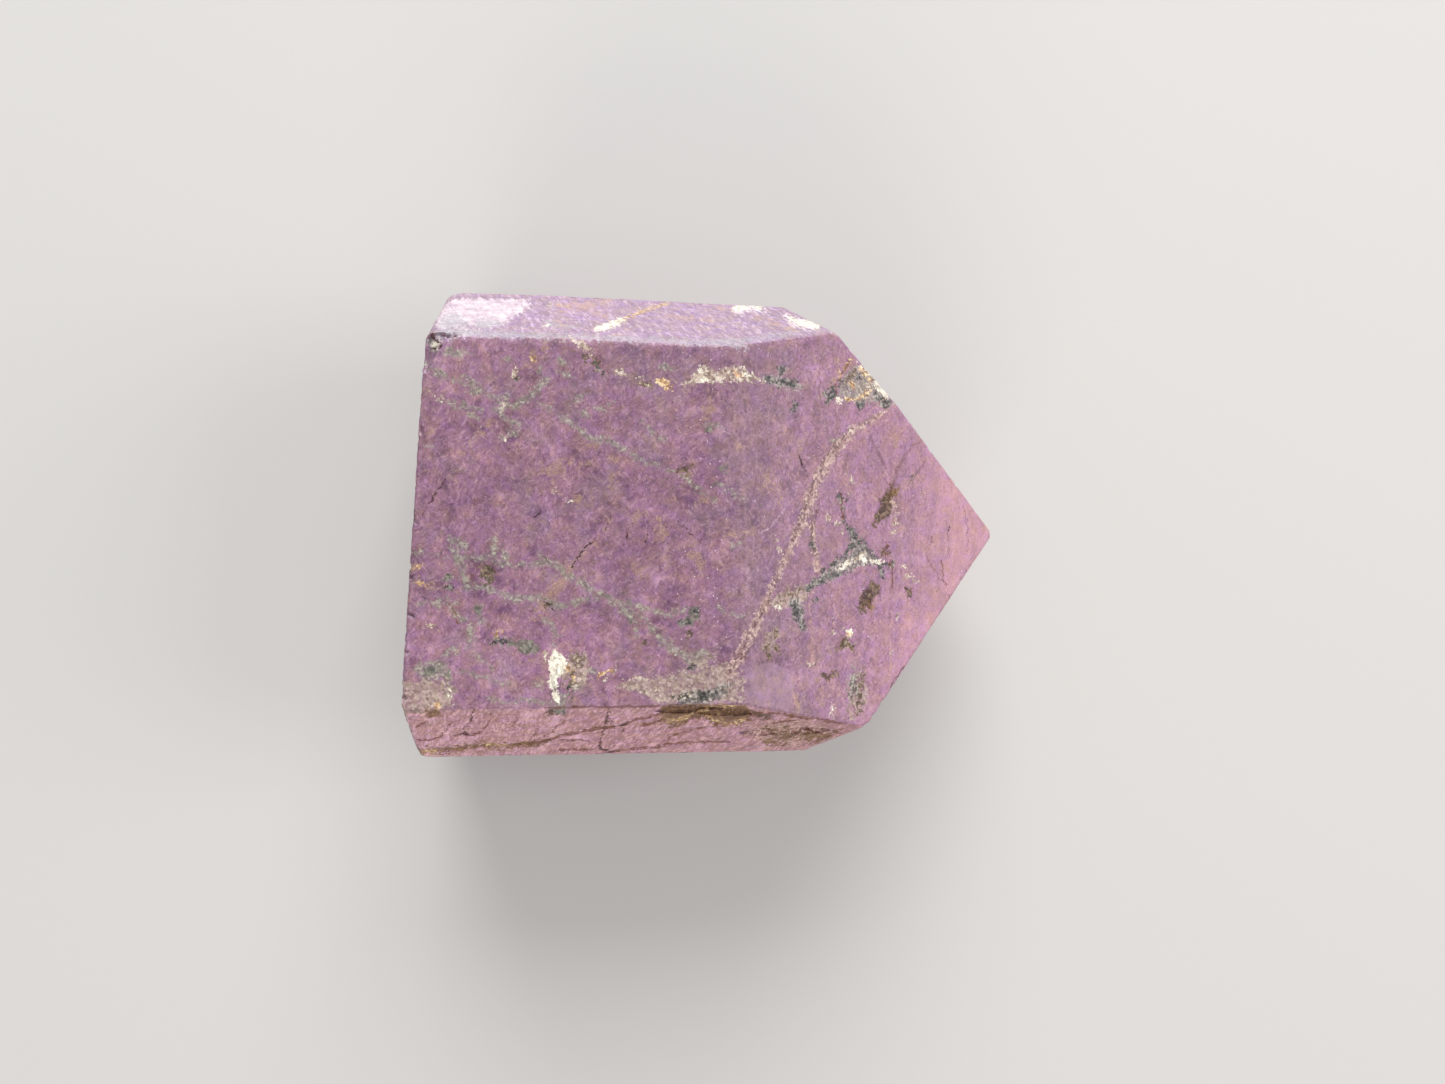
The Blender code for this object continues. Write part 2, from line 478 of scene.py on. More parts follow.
boards = {
    "photo": PhotoBoard(cameraPlan),
    "under": FlatBoard((1, 0, 0), (0, -1, 0), (0, 0, -1)),
    "base": FlatBoard((0, -1, 0), (0, 0, 1), (-1, 0, 0)),
    "leftSide": FlatBoard((-1, 0, 0), (0, 0, 1), (0, 1, 0)),
    "rightSide": FlatBoard((1, 0, 0), (0, 0, 1), (0, -1, 0)),
}
laid = {name: board.lay(stonePoints) for name, board in boards.items()}

# A field holds, for each point of the mesh, how many pixels it lies inside a kind
# of mark, or outside where it is below zero.

fieldPlan = {
    "farAway": -14.0,           # pixels; no point counts as farther outside than this
    "margin": 16,               # pixels around a mark that it is worked out for
    "fade": 3.0,                # pixels that a mark loses with each mm beyond its reach
    "dipDepth": 45,             # mm that a slanting vein is followed down
    "dipMargin": 40,            # mm of its slant that widen the margin
    "turnedUp": (0.2, 0.4),     # upward turn over which a hidden side's marks fade
}
fields = {}


def field(name):
    if name not in fields:
        fields[name] = np.full(pointCount, fieldPlan["farAway"])
    return fields[name]


def pickNear(board, points, margin):
    flat = laid[board][0]
    low = np.min([p[:2] for p in points], axis=0) - margin
    high = np.max([p[:2] for p in points], axis=0) + margin
    return np.nonzero(np.all((flat > low) & (flat < high), axis=1))[0]


def hiddenOnly(board, near):
    # a mark of a hidden side fades where the stone turns up to the photograph
    if board == "photo":
        return 0.0
    low, high = fieldPlan["turnedUp"]
    return -fieldPlan["farAway"] * np.clip((stoneFacings[near, 2] - low) / (high - low), 0, 1)


def fromStretch(away, along):
    # away leads from a stretch's start: the share along it, and the distance from it
    share = np.clip(away @ along / max(along @ along, 1e-6), 0, 1)
    rest = away - share[:, None] * along
    return share, np.hypot(rest[:, 0], rest[:, 1])


def drawRoute(kind, board, route, reach, dip=(0.0, 0.0), line=False):
    # a vein along board points (x, y, half-width); line keeps a hairline exact
    margin = fieldPlan["margin"] + fieldPlan["dipMargin"] * max(abs(dip[0]), abs(dip[1]))
    near = pickNear(board, route, margin)
    if not len(near):
        return
    flat, height = laid[board]
    flat, height = flat[near], height[near]
    rows = [(x, y, half, boards[board].height(x, y)) for x, y, half in route]
    gap = np.full(len(near), np.inf)
    side = np.zeros(len(near))
    half = np.zeros(len(near))
    deep = np.zeros(len(near))
    for a, b in zip(rows[:-1], rows[1:]):
        along = np.array((b[0] - a[0], b[1] - a[1]), float)
        depth = np.clip((a[3] + b[3]) / 2 - height, 0, fieldPlan["dipDepth"])
        away = flat - np.array(a[:2]) - depth[:, None] * np.array(dip)
        share, distance = fromStretch(away, along)
        closer = distance < gap
        gap = np.where(closer, distance, gap)
        turn = np.sign(along[0] * away[:, 1] - along[1] * away[:, 0])
        side = np.where(closer, turn * distance, side)
        half = np.where(closer, a[2] + (b[2] - a[2]) * share, half)
        deep = np.where(closer, a[3] + (b[3] - a[3]) * share - height, deep)
    inside = half - gap - fieldPlan["fade"] * np.clip(deep - reach, 0, None)
    inside = inside - hiddenOnly(board, near)
    whole = field(kind)
    if line:
        sides = field(kind + "Side")
        sides[near] = np.where(inside > whole[near], side, sides[near])
    whole[near] = np.maximum(whole[near], inside)


def drawSpot(kind, board, spot, reach):
    # an oval patch (x, y, half-width, half-height), with its turn in degrees if it has one
    x, y, wide, high, turn = (*spot, 0)[:5]
    near = pickNear(board, [(x, y)], max(wide, high) + fieldPlan["margin"])
    if not len(near):
        return
    flat, height = laid[board]
    away = flat[near] - np.array((x, y))
    a = math.radians(turn)
    u = (away[:, 0] * math.cos(a) + away[:, 1] * math.sin(a)) / wide
    v = (away[:, 1] * math.cos(a) - away[:, 0] * math.sin(a)) / high
    depth = (boards[board].height(x, y) - height[near]) / reach
    inside = (1 - np.sqrt(u * u + v * v + depth * depth)) * min(wide, high)
    inside = inside - hiddenOnly(board, near)
    whole = field(kind)
    whole[near] = np.maximum(whole[near], inside)


def drawArea(kind, board, corners, reach):
    # a patch with a drawn outline
    near = pickNear(board, corners, fieldPlan["margin"])
    if not len(near):
        return
    flat, height = laid[board]
    flat, height = flat[near], height[near]
    gap = np.full(len(near), np.inf)
    for start, end in zip(corners, corners[1:] + corners[:1]):
        along = np.subtract(end, start).astype(float)
        gap = np.minimum(gap, fromStretch(flat - np.array(start), along)[1])
    depth = boards[board].height(*np.mean(corners, axis=0)) - height
    inside = np.where(insideOutline(flat, corners), gap, -gap)
    inside = inside - fieldPlan["fade"] * np.clip(np.abs(depth) - reach, 0, None)
    inside = inside - hiddenOnly(board, near)
    whole = field(kind)
    whole[near] = np.maximum(whole[near], inside)


# the marks

# Each mineral has the routes of its veins, its oval spots and its outlined areas, by
# board. reach is how deep it goes, in millimetres, and dip is how many pixels a vein
# slants right and down for each millimetre of depth.

marks = {
    "green": {
        "reach": 5.0,
        "photo": {"routes": (
            ((560, 418, 1), (572, 422, 1.6), (580, 430, 2), (590, 438, 2), (597, 440, 2),
             (604, 437, 1.6), (620, 448, 1.8), (632, 454, 2), (645, 462, 1.2), (658, 466, 1)),
            ((668, 470, 1), (684, 476, 1.4), (695, 485, 1.8), (706, 495, 1.6), (715, 500, 1)),
            ((715, 482, 1), (728, 491, 1.6), (745, 500, 1)),
            ((540, 403, 1), (556, 412, 1.2), (572, 421, 1.2)),
            ((425, 363, 1.2), (437, 372, 2), (447, 376, 2.2), (455, 381, 1.8), (470, 386, 1.9),
             (483, 392, 2.1), (495, 397, 1.8), (502, 404, 1.6)),
            ((462, 377, 1.2), (474, 383, 1.6), (484, 389, 1.4)),
            ((515, 407, 1.8), (521, 401, 2.8), (528, 397, 4), (535, 392, 3.2), (541, 385, 2.2),
             (547, 379, 2.4), (541, 374, 1.2), (539, 366, 0.6)),
            ((498, 412, 1.2), (506, 419, 1.8), (514, 424, 2.4), (521, 423, 1.6)),
            ((452, 402, 1), (468, 407, 1.2), (482, 411, 1)),
            ((440, 400, 0.6), (452, 405, 1.2), (478, 418, 1)),
            ((506, 394, 1.6), (505, 404, 3), (500, 411, 4), (493, 411, 2.4)),
            ((450, 540, 3), (458, 543, 4), (465, 546, 3)),
            ((452, 548, 2), (455, 556, 3), (458, 564, 3), (462, 573, 3), (465, 581, 3),
             (470, 588, 3.4)),
            ((412, 553, 1), (430, 554, 0.8), (445, 558, 1), (470, 558, 0.8), (489, 559, 1.6),
             (501, 564, 2), (513, 566, 1.6), (526, 565, 2), (540, 564, 2), (553, 564, 1.8),
             (560, 569, 2), (567, 575, 1.8), (577, 581, 2.6), (583, 583, 2.8), (592, 591, 2.2),
             (602, 595, 2.4), (611, 600, 2.4), (621, 608, 3), (630, 615, 2.6), (634, 622, 2),
             (636, 630, 1.6), (637, 637, 0.8)),
            ((470, 587, 2.6), (480, 587, 2), (489, 587, 2.2), (500, 593, 2.4), (508, 598, 3.2),
             (518, 599, 2.8), (530, 598, 2.8), (541, 597, 2), (548, 602, 2), (556, 606, 2.6),
             (566, 605, 2), (574, 603, 2.4), (585, 600, 2.2), (594, 600, 1)),
            ((538, 551, 1.2), (544, 558, 1.6), (550, 563, 1.2)),
            ((614, 603, 2.4), (624, 605, 3), (634, 605, 3.4), (641, 607, 2.6), (648, 610, 2),
             (656, 612, 1.8), (664, 614, 2.2), (673, 614, 2.2), (681, 611, 1.6), (688, 608, 1)),
            ((641, 614, 1.4), (646, 621, 2.4), (652, 628, 2.4), (657, 635, 3), (663, 641, 4),
             (670, 648, 4.4), (680, 653, 3), (688, 660, 2)),
            ((448, 600, 1.2), (453, 611, 1.8), (459, 620, 2.2), (467, 618, 1.6)),
            ((440, 600, 1), (448, 602, 1.6), (456, 603, 1.2)),
            ((420, 604, 1.2), (428, 600, 0.8), (437, 606, 1.2)),
            ((470, 628, 2.2), (473, 638, 2.4), (468, 646, 1.6)),
            ((445, 655, 1.6), (452, 650, 2.4), (458, 652, 1.2)),
            ((475, 655, 1.2), (484, 662, 1.8), (492, 668, 1.2)),
            ((458, 671, 0.8), (480, 676, 1), (495, 681, 1.6), (508, 684, 1)),
            ((488, 699, 0.8), (498, 702, 1.2), (510, 703, 1.6), (525, 699, 1.8), (540, 702, 1.2),
             (547, 705, 0.8)),
            ((544, 619, 1.2), (551, 625, 2.2), (556, 634, 1.6), (553, 645, 2)),
            ((448, 672, 3.2), (450, 685, 3.4), (447, 698, 2.8)),
            ((732, 614, 1.2), (742, 617, 1.8)),
            ((718, 608, 1.6), (724, 612, 1)),
            ((833, 440, 2.4), (841, 443, 2)),
            ((549, 702, 2), (558, 709, 4), (566, 706, 2)),
            ((662, 366, 2.4), (672, 369, 1.6)),
            ((705, 425, 2), (716, 424, 1.2), (727, 430, 1.6)),
            ((640, 420, 0.6), (652, 432, 0.8), (664, 441, 0.6)),
        ), "spots": (
            (431, 671, 16, 10.5, -8), (474, 391, 5, 4), (562, 362, 4, 3, 30), (456, 353, 11, 4, 5),
            (503, 437, 3, 3), (511, 433, 5, 3), (599, 408, 4, 3), (585, 413, 3, 2.5, 20),
            (479, 608, 4, 4), (481, 621, 4, 3), (447, 578, 4, 3), (507, 358, 3, 2), (578, 397, 4, 3),
            (565, 374, 4, 2, 20), (612, 404, 3, 2), (700, 656, 11, 5, -15), (538, 684, 5, 4),
            (577, 685, 6, 6), (561, 699, 6, 6), (432, 447, 4, 2), (505, 556, 3, 6),
            (494, 547, 3, 7, -10), (735, 545, 4, 3), (592, 672, 4, 4),
        ), "areas": (
            ((840, 382), (847, 373), (856, 366), (866, 369), (877, 382), (888, 394), (880, 402),
             (866, 401), (860, 408), (855, 402), (846, 401), (840, 396)),
        )},
        "under": {"routes": (
            ((-250, -60, 1.2), (-190, -35, 2), (-140, -50, 1.6), (-90, -20, 2.2), (-40, -32, 1.6),
             (5, 5, 1.2)),
            ((-140, -50, 1.6), (-120, -95, 2), (-70, -120, 1.2)),
            ((-200, 60, 0.8), (-150, 85, 1.8), (-85, 78, 2.2), (-30, 110, 1.6), (40, 104, 1)),
            ((60, -80, 1), (110, -50, 1.9), (150, -62, 1.2)),
        ), "spots": (
            (-60, 30, 7, 5, 10), (95, 40, 6, 4, -20), (-215, 10, 5, 7), (30, -110, 8, 4, 15),
        )},
        "leftSide": {"routes": (
            ((-60, 130, 1), (-10, 110, 1.9), (50, 118, 1.6), (110, 86, 2), (170, 96, 1)),
            ((110, 86, 1.6), (125, 50, 1.4), (160, 22, 0.8)),
        ), "spots": (
            (40, 60, 6, 4), (230, 120, 7, 5, 20),
        )},
        "rightSide": {"routes": (
            ((-230, 60, 1), (-170, 72, 1.8), (-110, 52, 2.1), (-60, 60, 1.2)),
            ((20, 100, 0.8), (60, 80, 1.6), (120, 92, 1)),
        ), "spots": (
            (-40, 30, 6, 4), (170, 60, 5, 6),
        )},
        "base": {"routes": (
            ((-190, 190, 1.2), (-150, 150, 1.9), (-110, 156, 2.1), (-60, 120, 1.6), (-20, 128, 1)),
            ((-110, 156, 1.6), (-96, 190, 1.8), (-88, 240, 1.2)),
            ((60, 230, 1), (90, 190, 1.8), (150, 176, 1.9), (200, 190, 1)),
        ), "spots": (
            (40, 90, 7, 5, 10), (-160, 90, 6, 4), (140, 120, 5, 5),
        )},
    },
    "pale": {
        "reach": 32.0,
        "dip": (-1.1, 0.5),
        "photo": {"routes": (
            ((889, 406, 0.8), (876, 417, 1.2), (866, 423, 1.8), (855, 429, 2.4), (848, 436, 3),
             (843, 442, 4), (837, 449, 4.2), (833, 455, 4.2), (827, 463, 4), (822, 471, 4.8),
             (818, 480, 4.2), (814, 490, 4), (810, 500, 3.6), (806, 511, 3.4), (802, 521, 3.2),
             (798, 531, 3.2), (793, 542, 2.6), (788, 555, 2.2), (782, 567, 2.2), (776, 579, 2.4),
             (770, 592, 2.6), (765, 604, 2.8), (760, 616, 3.2), (754, 629, 4), (749, 638, 4.6),
             (744, 648, 4.8), (738, 659, 4.6), (732, 670, 3.4), (728, 679, 2)),
            ((811, 512, 1), (812, 531, 1.6), (814, 543, 2), (816, 560, 1.8), (818, 572, 1.4)),
            ((893, 500, 1), (896, 512, 1.6), (894, 526, 1.6)),
        )},
    },
    "cream": {
        "reach": 4.0,
        "photo": {"routes": (
            ((570, 337, 1.8), (578, 341, 3.4), (584, 346, 4.2), (589, 351, 3), (592, 357, 1.4)),
            ((615, 371, 1.5), (620, 372, 2.8), (626, 375, 1.8), (634, 377, 1.2), (642, 379, 1.2),
             (647, 384, 0.8)),
            ((680, 384, 1), (690, 383, 2), (697, 378, 6), (705, 374, 9), (714, 378, 5.6),
             (722, 376, 6.4), (733, 373, 8.4), (744, 375, 6.8), (753, 378, 4.4), (762, 381, 2)),
            ((503, 398, 0.8), (503, 405, 1.4), (500, 410, 1.8)),
            ((570, 655, 1), (577, 662, 1.4), (580, 672, 1.4), (574, 688, 1.2)),
            ((515, 370, 1.6), (514, 374, 2.6), (517, 377, 1.6)),
            ((595, 331, 1), (603, 328, 2), (612, 324, 2.6), (620, 320, 2.2), (628, 317, 1.4),
             (640, 312, 0.9)),
            ((494, 638, 2), (497, 634, 2), (501, 636, 2.2), (507, 638, 1.2)),
            ((544, 652, 1.2), (547, 656, 2), (544, 661, 1.4)),
            ((894, 524, 1), (893, 531, 1.8)),
            ((836, 522, 1.5), (842, 526, 2), (844, 532, 1)),
            ((905, 575, 1.5), (912, 579, 2.2), (916, 582, 1.6)),
            ((891, 566, 0.8), (904, 566, 1)),
            ((842, 628, 1.5), (848, 633, 3), (850, 640, 2)),
            ((864, 552, 1), (858, 559, 2.2), (849, 563, 2.6), (841, 568, 2)),
            ((869, 557, 1), (873, 563, 2)),
            ((849, 428, 0.8), (851, 433, 1)),
            ((604, 679, 1), (611, 673, 1.8), (617, 668, 1.2)),
            ((622, 681, 0.8), (638, 679, 1.4), (655, 677, 0.8)),
            ((672, 700, 0.8), (684, 698, 1.3), (700, 695, 1)),
            ((640, 692, 0.7), (656, 690, 1.2), (668, 686, 0.8)),
        ), "spots": (
            (663, 384, 8, 4.5, 15), (441, 398, 3, 1.6), (505, 437, 2, 2.4), (545, 325, 2.5, 2),
            (550, 305, 3, 3), (660, 331, 2, 1.6), (425, 391, 4, 1.6), (437, 706, 3.6, 3.6),
            (430, 625, 4, 3, 30), (553, 491, 2, 1.8), (568, 502, 3, 1.8), (429, 752, 6, 1.6, -5),
            (833, 711, 2.4, 4.5, 10), (437, 344, 6, 3.4, -20), (868, 385, 2.6, 2), (846, 398, 2.4, 1.6),
            (833, 634, 2.6, 2.2), (811, 664, 2.6, 2.4), (787, 373, 1.5, 1.5), (828, 518, 3, 3.4),
            (893, 652, 2, 3), (896, 616, 2.4, 3.4), (407, 569, 2.4, 3), (783, 603, 2.4, 1.8),
            (847, 474, 2, 1.8), (852, 480, 2, 2.6), (849, 487, 1.8, 2.2), (776, 541, 1.8, 2.4),
            (780, 549, 2.4, 2), (784, 556, 1.8, 2),
        )},
        "under": {"routes": (
            ((-120, 150, 1.2), (-60, 128, 3), (0, 136, 4.5), (50, 118, 3), (100, 122, 1.2)),
            ((-240, -120, 1), (-200, -96, 2.4), (-170, -104, 1.2)),
        ), "spots": (
            (130, -20, 5, 3, 20), (-110, 10, 3, 4), (-30, -70, 3, 2.4),
        )},
        "base": {"routes": (
            ((-40, 60, 1), (0, 84, 2.6), (40, 80, 3.6), (90, 104, 2), (120, 100, 1)),
        ), "spots": (
            (-120, 220, 4, 3), (180, 90, 3, 4),
        )},
        "leftSide": {"routes": (
            ((-120, 60, 1), (-80, 74, 2.6), (-30, 70, 3.4), (10, 84, 1.6)),
        ), "spots": (
            (200, 60, 4, 3),
        )},
        "rightSide": {"routes": (
            ((60, 40, 1), (110, 50, 3), (150, 46, 1.6)),
        ), "spots": (
            (-180, 110, 4, 3), (-90, 100, 3, 3),
        )},
    },
    "dark": {
        "reach": 7.0,
        "photo": {"routes": (
            ((843, 518, 1), (846, 525, 2), (851, 531, 3), (855, 537, 3.6), (861, 543, 2.4),
             (868, 548, 1.8), (874, 556, 1.6), (880, 563, 2), (886, 565, 2), (893, 565, 2.2)),
            ((880, 566, 2.4), (882, 572, 2.4), (882, 577, 1.4)),
            ((853, 545, 1.6), (847, 552, 2), (840, 559, 1.8), (831, 566, 1.8), (822, 573, 1.6)),
            ((850, 572, 0.8), (838, 575, 1.6), (828, 579, 2.8), (818, 583, 2.4), (810, 587, 2.4)),
            ((866, 545, 1), (862, 552, 1.6), (854, 560, 1)),
            ((794, 605, 3.4), (797, 612, 4), (799, 619, 3.2), (801, 626, 1.6)),
            ((766, 377, 1.4), (770, 380, 3), (776, 382, 2), (783, 384, 2.6), (790, 383, 3.4),
             (796, 384, 2)),
            ((829, 392, 3), (834, 396, 3), (829, 400, 3)),
        ), "spots": (
            (783, 369, 4.5, 4.5), (499, 641, 8.6, 4.8, 5), (695, 613, 2.4, 3), (686, 622, 3, 2, -10),
            (450, 587, 4, 2.8), (598, 366, 1.8, 4.4, -30), (425, 364, 2.4, 2), (840, 497, 2.6, 3.4),
            (847, 501, 1.6, 1.8), (860, 405, 3, 5), (887, 400, 5, 6, 20), (858, 378, 1.6, 3.4, 40),
            (839, 386, 2, 3.4, 20), (516, 378, 3.4, 4, 30), (795, 407, 2.4, 5), (812, 545, 3, 4),
            (816, 599, 2.4, 2), (684, 699, 10, 4.6), (704, 696, 11, 4.8, -20), (693, 669, 4, 4, 30),
            (833, 391, 2.4, 4), (877, 394, 1.6, 2), (912, 478, 1, 1), (570, 690, 1.6, 4),
        )},
        "under": {"routes": (
            ((60, 60, 1.5), (90, 46, 4), (120, 50, 6), (150, 30, 4), (180, 34, 1.5)),
            ((120, 50, 4), (126, 74, 3), (122, 96, 1.5)),
        ), "spots": (
            (-170, 110, 8, 5, 10), (-20, 70, 6, 4), (-120, -130, 6, 8, 10), (200, -40, 4, 6),
        )},
        "base": {"routes": (
            ((-150, 250, 1.2), (-130, 226, 3.4), (-100, 216, 4.4), (-80, 196, 2)),
        ), "spots": (
            (80, 60, 7, 4, 10), (170, 230, 6, 5), (-60, 50, 5, 4),
        )},
        "leftSide": {"routes": (
            ((60, 150, 1.2), (90, 130, 3.4), (130, 136, 4.4), (160, 120, 1.6)),
        ), "spots": (
            (-90, 110, 6, 4), (250, 70, 5, 6),
        )},
        "rightSide": {"routes": (
            ((-160, 130, 1.2), (-130, 118, 3), (-100, 122, 1.4)),
        ), "spots": (
            (40, 130, 6, 4), (-250, 70, 5, 5), (220, 90, 4, 5),
        )},
    },
    "moss": {
        "reach": 6.0,
        "photo": {"spots": (
            (487.5, 574, 5.4, 9.4, 6), (430, 671, 8, 4.8, -8), (526, 647, 12, 7.4, 8),
            (512, 643, 5, 3, 10), (478, 609, 3.4, 4), (480, 619, 3, 2.2), (710, 429, 4, 3),
            (724, 468, 4, 4.4), (796, 406, 2.4, 4), (716, 484, 3, 2), (559, 711, 6, 4.6),
            (447, 578, 3, 2.4), (843, 507, 1.8, 4), (695, 613, 5.8, 6.6), (687, 622, 7.6, 4.8, -10),
        ), "routes": (
            ((448, 674, 1.8), (449, 685, 2.4), (447, 698, 2)),
        )},
        "under": {"spots": ((-80, 90, 9, 6, 10), (150, 60, 7, 5))},
        "base": {"spots": ((-40, 220, 8, 5, 10),)},
        "leftSide": {"spots": ((-200, 110, 8, 5),)},
        "rightSide": {"spots": ((180, 60, 8, 5),)},
    },
    "milk": {
        "reach": 3.0,
        "photo": {"routes": (
            ((596, 330, 1.6), (602, 328, 3), (609, 325, 3.4), (617, 322, 3), (625, 319, 1.6)),
            ((734, 309, 2), (740, 307, 3), (752, 305, 2), (760, 308, 1.4)),
            ((790, 318, 1.6), (800, 322, 3), (812, 324, 4), (817, 326, 2)),
            ((862, 556, 1), (866, 561, 2), (872, 563, 1.2)),
            ((848, 562, 0.8), (845, 566, 1.5), (841, 569, 0.8)),
            ((557, 655, 4.6), (558, 662, 9.8), (556, 671, 6.4), (553, 677, 2.8), (553, 683, 4.8),
             (554, 689, 2.4), (556, 695, 4), (558, 701, 1.8)),
            ((858, 363, 1.4), (865, 369, 2.8), (873, 378, 3.2), (879, 385, 4), (885, 392, 4),
             (888, 396, 2)),
        ), "spots": (
            (777, 608, 2, 1.2), (839, 401, 3.6, 3), (849, 632, 3, 2.6), (833, 711, 1.6, 3.6, 10),
            (880, 562, 3, 1.8), (569, 501, 1.8, 1.4), (435, 344, 2.6, 1.8, -20), (449, 692, 1.2, 3),
            (748, 375, 3, 2.4), (704, 379, 3.4, 2), (700, 371, 2.4, 2), (547, 324, 2.2, 1.8),
        )},
        "under": {"spots": ((-20, 136, 9, 4), (122, 48, 6, 4, 10))},
        "base": {"spots": ((30, 82, 7, 4, 10), (-104, 218, 4, 3))},
        "rightSide": {"spots": ((112, 50, 7, 3),)},
        "leftSide": {"spots": ((-40, 71, 7, 3),)},
    },
    "tan": {
        "reach": 3.5,
        "photo": {"routes": (
            ((808, 586, 4), (799, 594, 8), (790, 599, 9), (781, 602, 7), (772, 602, 3),
             (762, 612, 1.4)),
            ((690, 672, 4), (700, 663, 5), (709, 656, 3.4)),
            ((716, 666, 4), (728, 668, 3)),
        ), "spots": (
            (857, 692, 10, 25, 6), (772, 642, 7, 13, 8), (848, 645, 6, 5), (575, 669, 13, 18, 8),
        ), "areas": (
            ((398, 684), (410, 680), (430, 680), (452, 680), (455, 690), (450, 704), (442, 710),
             (432, 712), (399, 714)),
            ((616, 686), (626, 681), (642, 678), (662, 678), (690, 670), (716, 666), (736, 664),
             (743, 680), (741, 703), (720, 704), (690, 706), (664, 704), (652, 697), (640, 692),
             (626, 690)),
        )},
        "under": {"areas": (
            ((-280, 90), (-250, 70), (-225, 84), (-215, 120), (-240, 150), (-275, 140)),
        ), "spots": (
            (170, 90, 14, 9, 30), (-40, -140, 20, 9),
        )},
        "base": {"areas": (
            ((130, 280), (150, 250), (190, 240), (215, 260), (210, 310), (140, 320)),
        ), "spots": (
            (-190, 60, 12, 18),
        )},
        "leftSide": {"spots": ((150, 30, 20, 8), (-140, 110, 10, 12))},
        "rightSide": {"spots": ((-20, 60, 16, 7), (190, 120, 10, 10))},
    },
    "rust": {
        "reach": 2.6,
        "photo": {"routes": (
            ((750, 713, 1.6), (762, 716, 2.2), (770, 718, 1.2)),
            ((893, 488, 3.5), (889, 498, 6), (886, 508, 6.5), (880, 516, 4.6), (876, 524, 2.4)),
            ((873, 584, 3), (874, 591, 6.6), (869, 598, 6.4), (864, 605, 5), (862, 611, 3)),
            ((846, 640, 3), (843, 646, 3), (840, 650, 1.6)),
            ((848, 642, 3), (853, 649, 2)),
            ((823, 675, 2), (830, 678, 3), (837, 673, 2)),
            ((906, 588, 1), (911, 592, 2), (908, 598, 1.2)),
            ((678, 473, 3), (684, 470, 4), (690, 467, 2)),
        ), "spots": (
            (487.5, 573.5, 6.6, 10, 6), (769, 650, 2.4, 6, 10), (776, 642, 1.6, 6),
            (689, 632, 3.6, 5, 10), (886, 552, 3, 4), (645, 384, 5, 2.6), (403, 713, 4, 4),
            (597, 363, 5, 8.6, -30), (587, 357, 3, 4), (577, 661, 6, 7, 10), (571, 682, 4, 7),
            (861, 692, 1.4, 12, 4), (643, 643, 3, 3), (410, 567, 5, 3), (546, 603, 2, 2.6, -30),
            (786, 602, 2.8, 2), (794, 596, 3, 2, 30), (801, 591, 2.4, 2), (551, 712, 3.6, 3, 5),
            (852, 377, 3, 5, 40),
        )},
        "under": {"routes": (
            ((-200, -20, 2), (-170, -6, 5), (-130, 4, 4), (-100, -4, 1.4)),
            ((10, 60, 1.4), (40, 76, 4), (66, 70, 2)),
        ), "spots": (
            (-70, -60, 8, 6), (160, -80, 6, 9, 20), (230, 20, 5, 5),
        )},
        "base": {"routes": (
            ((-30, 300, 2), (0, 288, 5), (40, 296, 4), (70, 290, 1.4)),
            ((-200, 140, 1), (-180, 120, 3), (-170, 96, 1.4)),
        ), "spots": (
            (110, 60, 9, 5), (-50, 180, 5, 6),
        )},
        "leftSide": {"routes": (
            ((-30, 30, 1), (10, 40, 4), (50, 34, 3), (80, 42, 1)),
        ), "spots": (
            (180, 130, 7, 5), (-150, 60, 6, 5),
        )},
        "rightSide": {"routes": (
            ((-120, 20, 1), (-80, 32, 4), (-40, 28, 3), (-10, 36, 1)),
        ), "spots": (
            (90, 120, 7, 5), (-220, 130, 6, 4), (230, 50, 6, 5),
        )},
    },
    "ochre": {
        "reach": 2.4,
        "photo": {"routes": (
            ((852, 357, 3), (850, 364, 5), (845, 372, 4), (839, 380, 2.4)),
            ((834, 350, 1), (840, 370, 1.4), (830, 388, 1.4), (820, 397, 1)),
            ((615, 512, 1), (611, 518, 1.6), (603, 530, 1.4), (588, 548, 1.4), (577, 562, 3),
             (566, 575, 5.4), (557, 585, 7), (548, 595, 7), (542, 605, 5.4), (537, 617, 3)),
            ((795, 690, 2), (796, 702, 3.4), (799, 712, 2)),
            ((812, 664, 1.4), (818, 680, 2), (822, 694, 2), (822, 708, 1.6)),
            ((556, 303, 1.6), (563, 307, 3.6), (574, 303, 4), (584, 306, 4.6), (600, 303, 3),
             (612, 300, 2)),
            ((556, 323, 0.7), (573, 324, 0.6)),
            ((592, 310, 1), (605, 316, 1)),
            ((486, 428, 2), (480, 434, 3), (488, 434, 2.4)),
            ((497, 419, 1.5), (488, 424, 1.5), (478, 436, 1.2), (468, 447, 1.6), (462, 456, 2)),
            ((410, 568, 2), (424, 566, 3)),
            ((416, 584, 2.4), (424, 583, 4), (432, 587, 3)),
            ((446, 585, 2), (455, 590, 2.4)),
            ((530, 660, 2), (541, 660, 2.6), (548, 655, 2)),
            ((436, 690, 3), (437, 699, 3.4), (437, 707, 3)),
            ((711, 401, 2.4), (709, 410, 5.4), (706, 417, 4)),
            ((738, 440, 2.4), (738, 446, 4)),
            ((779, 488, 1.6), (781, 498, 3), (779, 504, 1.6)),
            ((725, 534, 4), (733, 537, 6), (741, 534, 3)),
            ((692, 549, 4), (695, 557, 6.4), (700, 564, 5)),
            ((896, 424, 1.4), (897, 436, 3), (896, 446, 1.4)),
            ((718, 307, 1.4), (733, 310, 1.2), (745, 310, 1)),
            ((755, 315, 1), (780, 326, 2), (800, 331, 1.4)),
            ((660, 316, 0.8), (690, 317, 1), (712, 320, 0.8)),
            ((892, 488, 4), (886, 498, 3)),
            ((810, 516, 1), (813, 534, 2), (817, 560, 1.6), (820, 575, 1.2)),
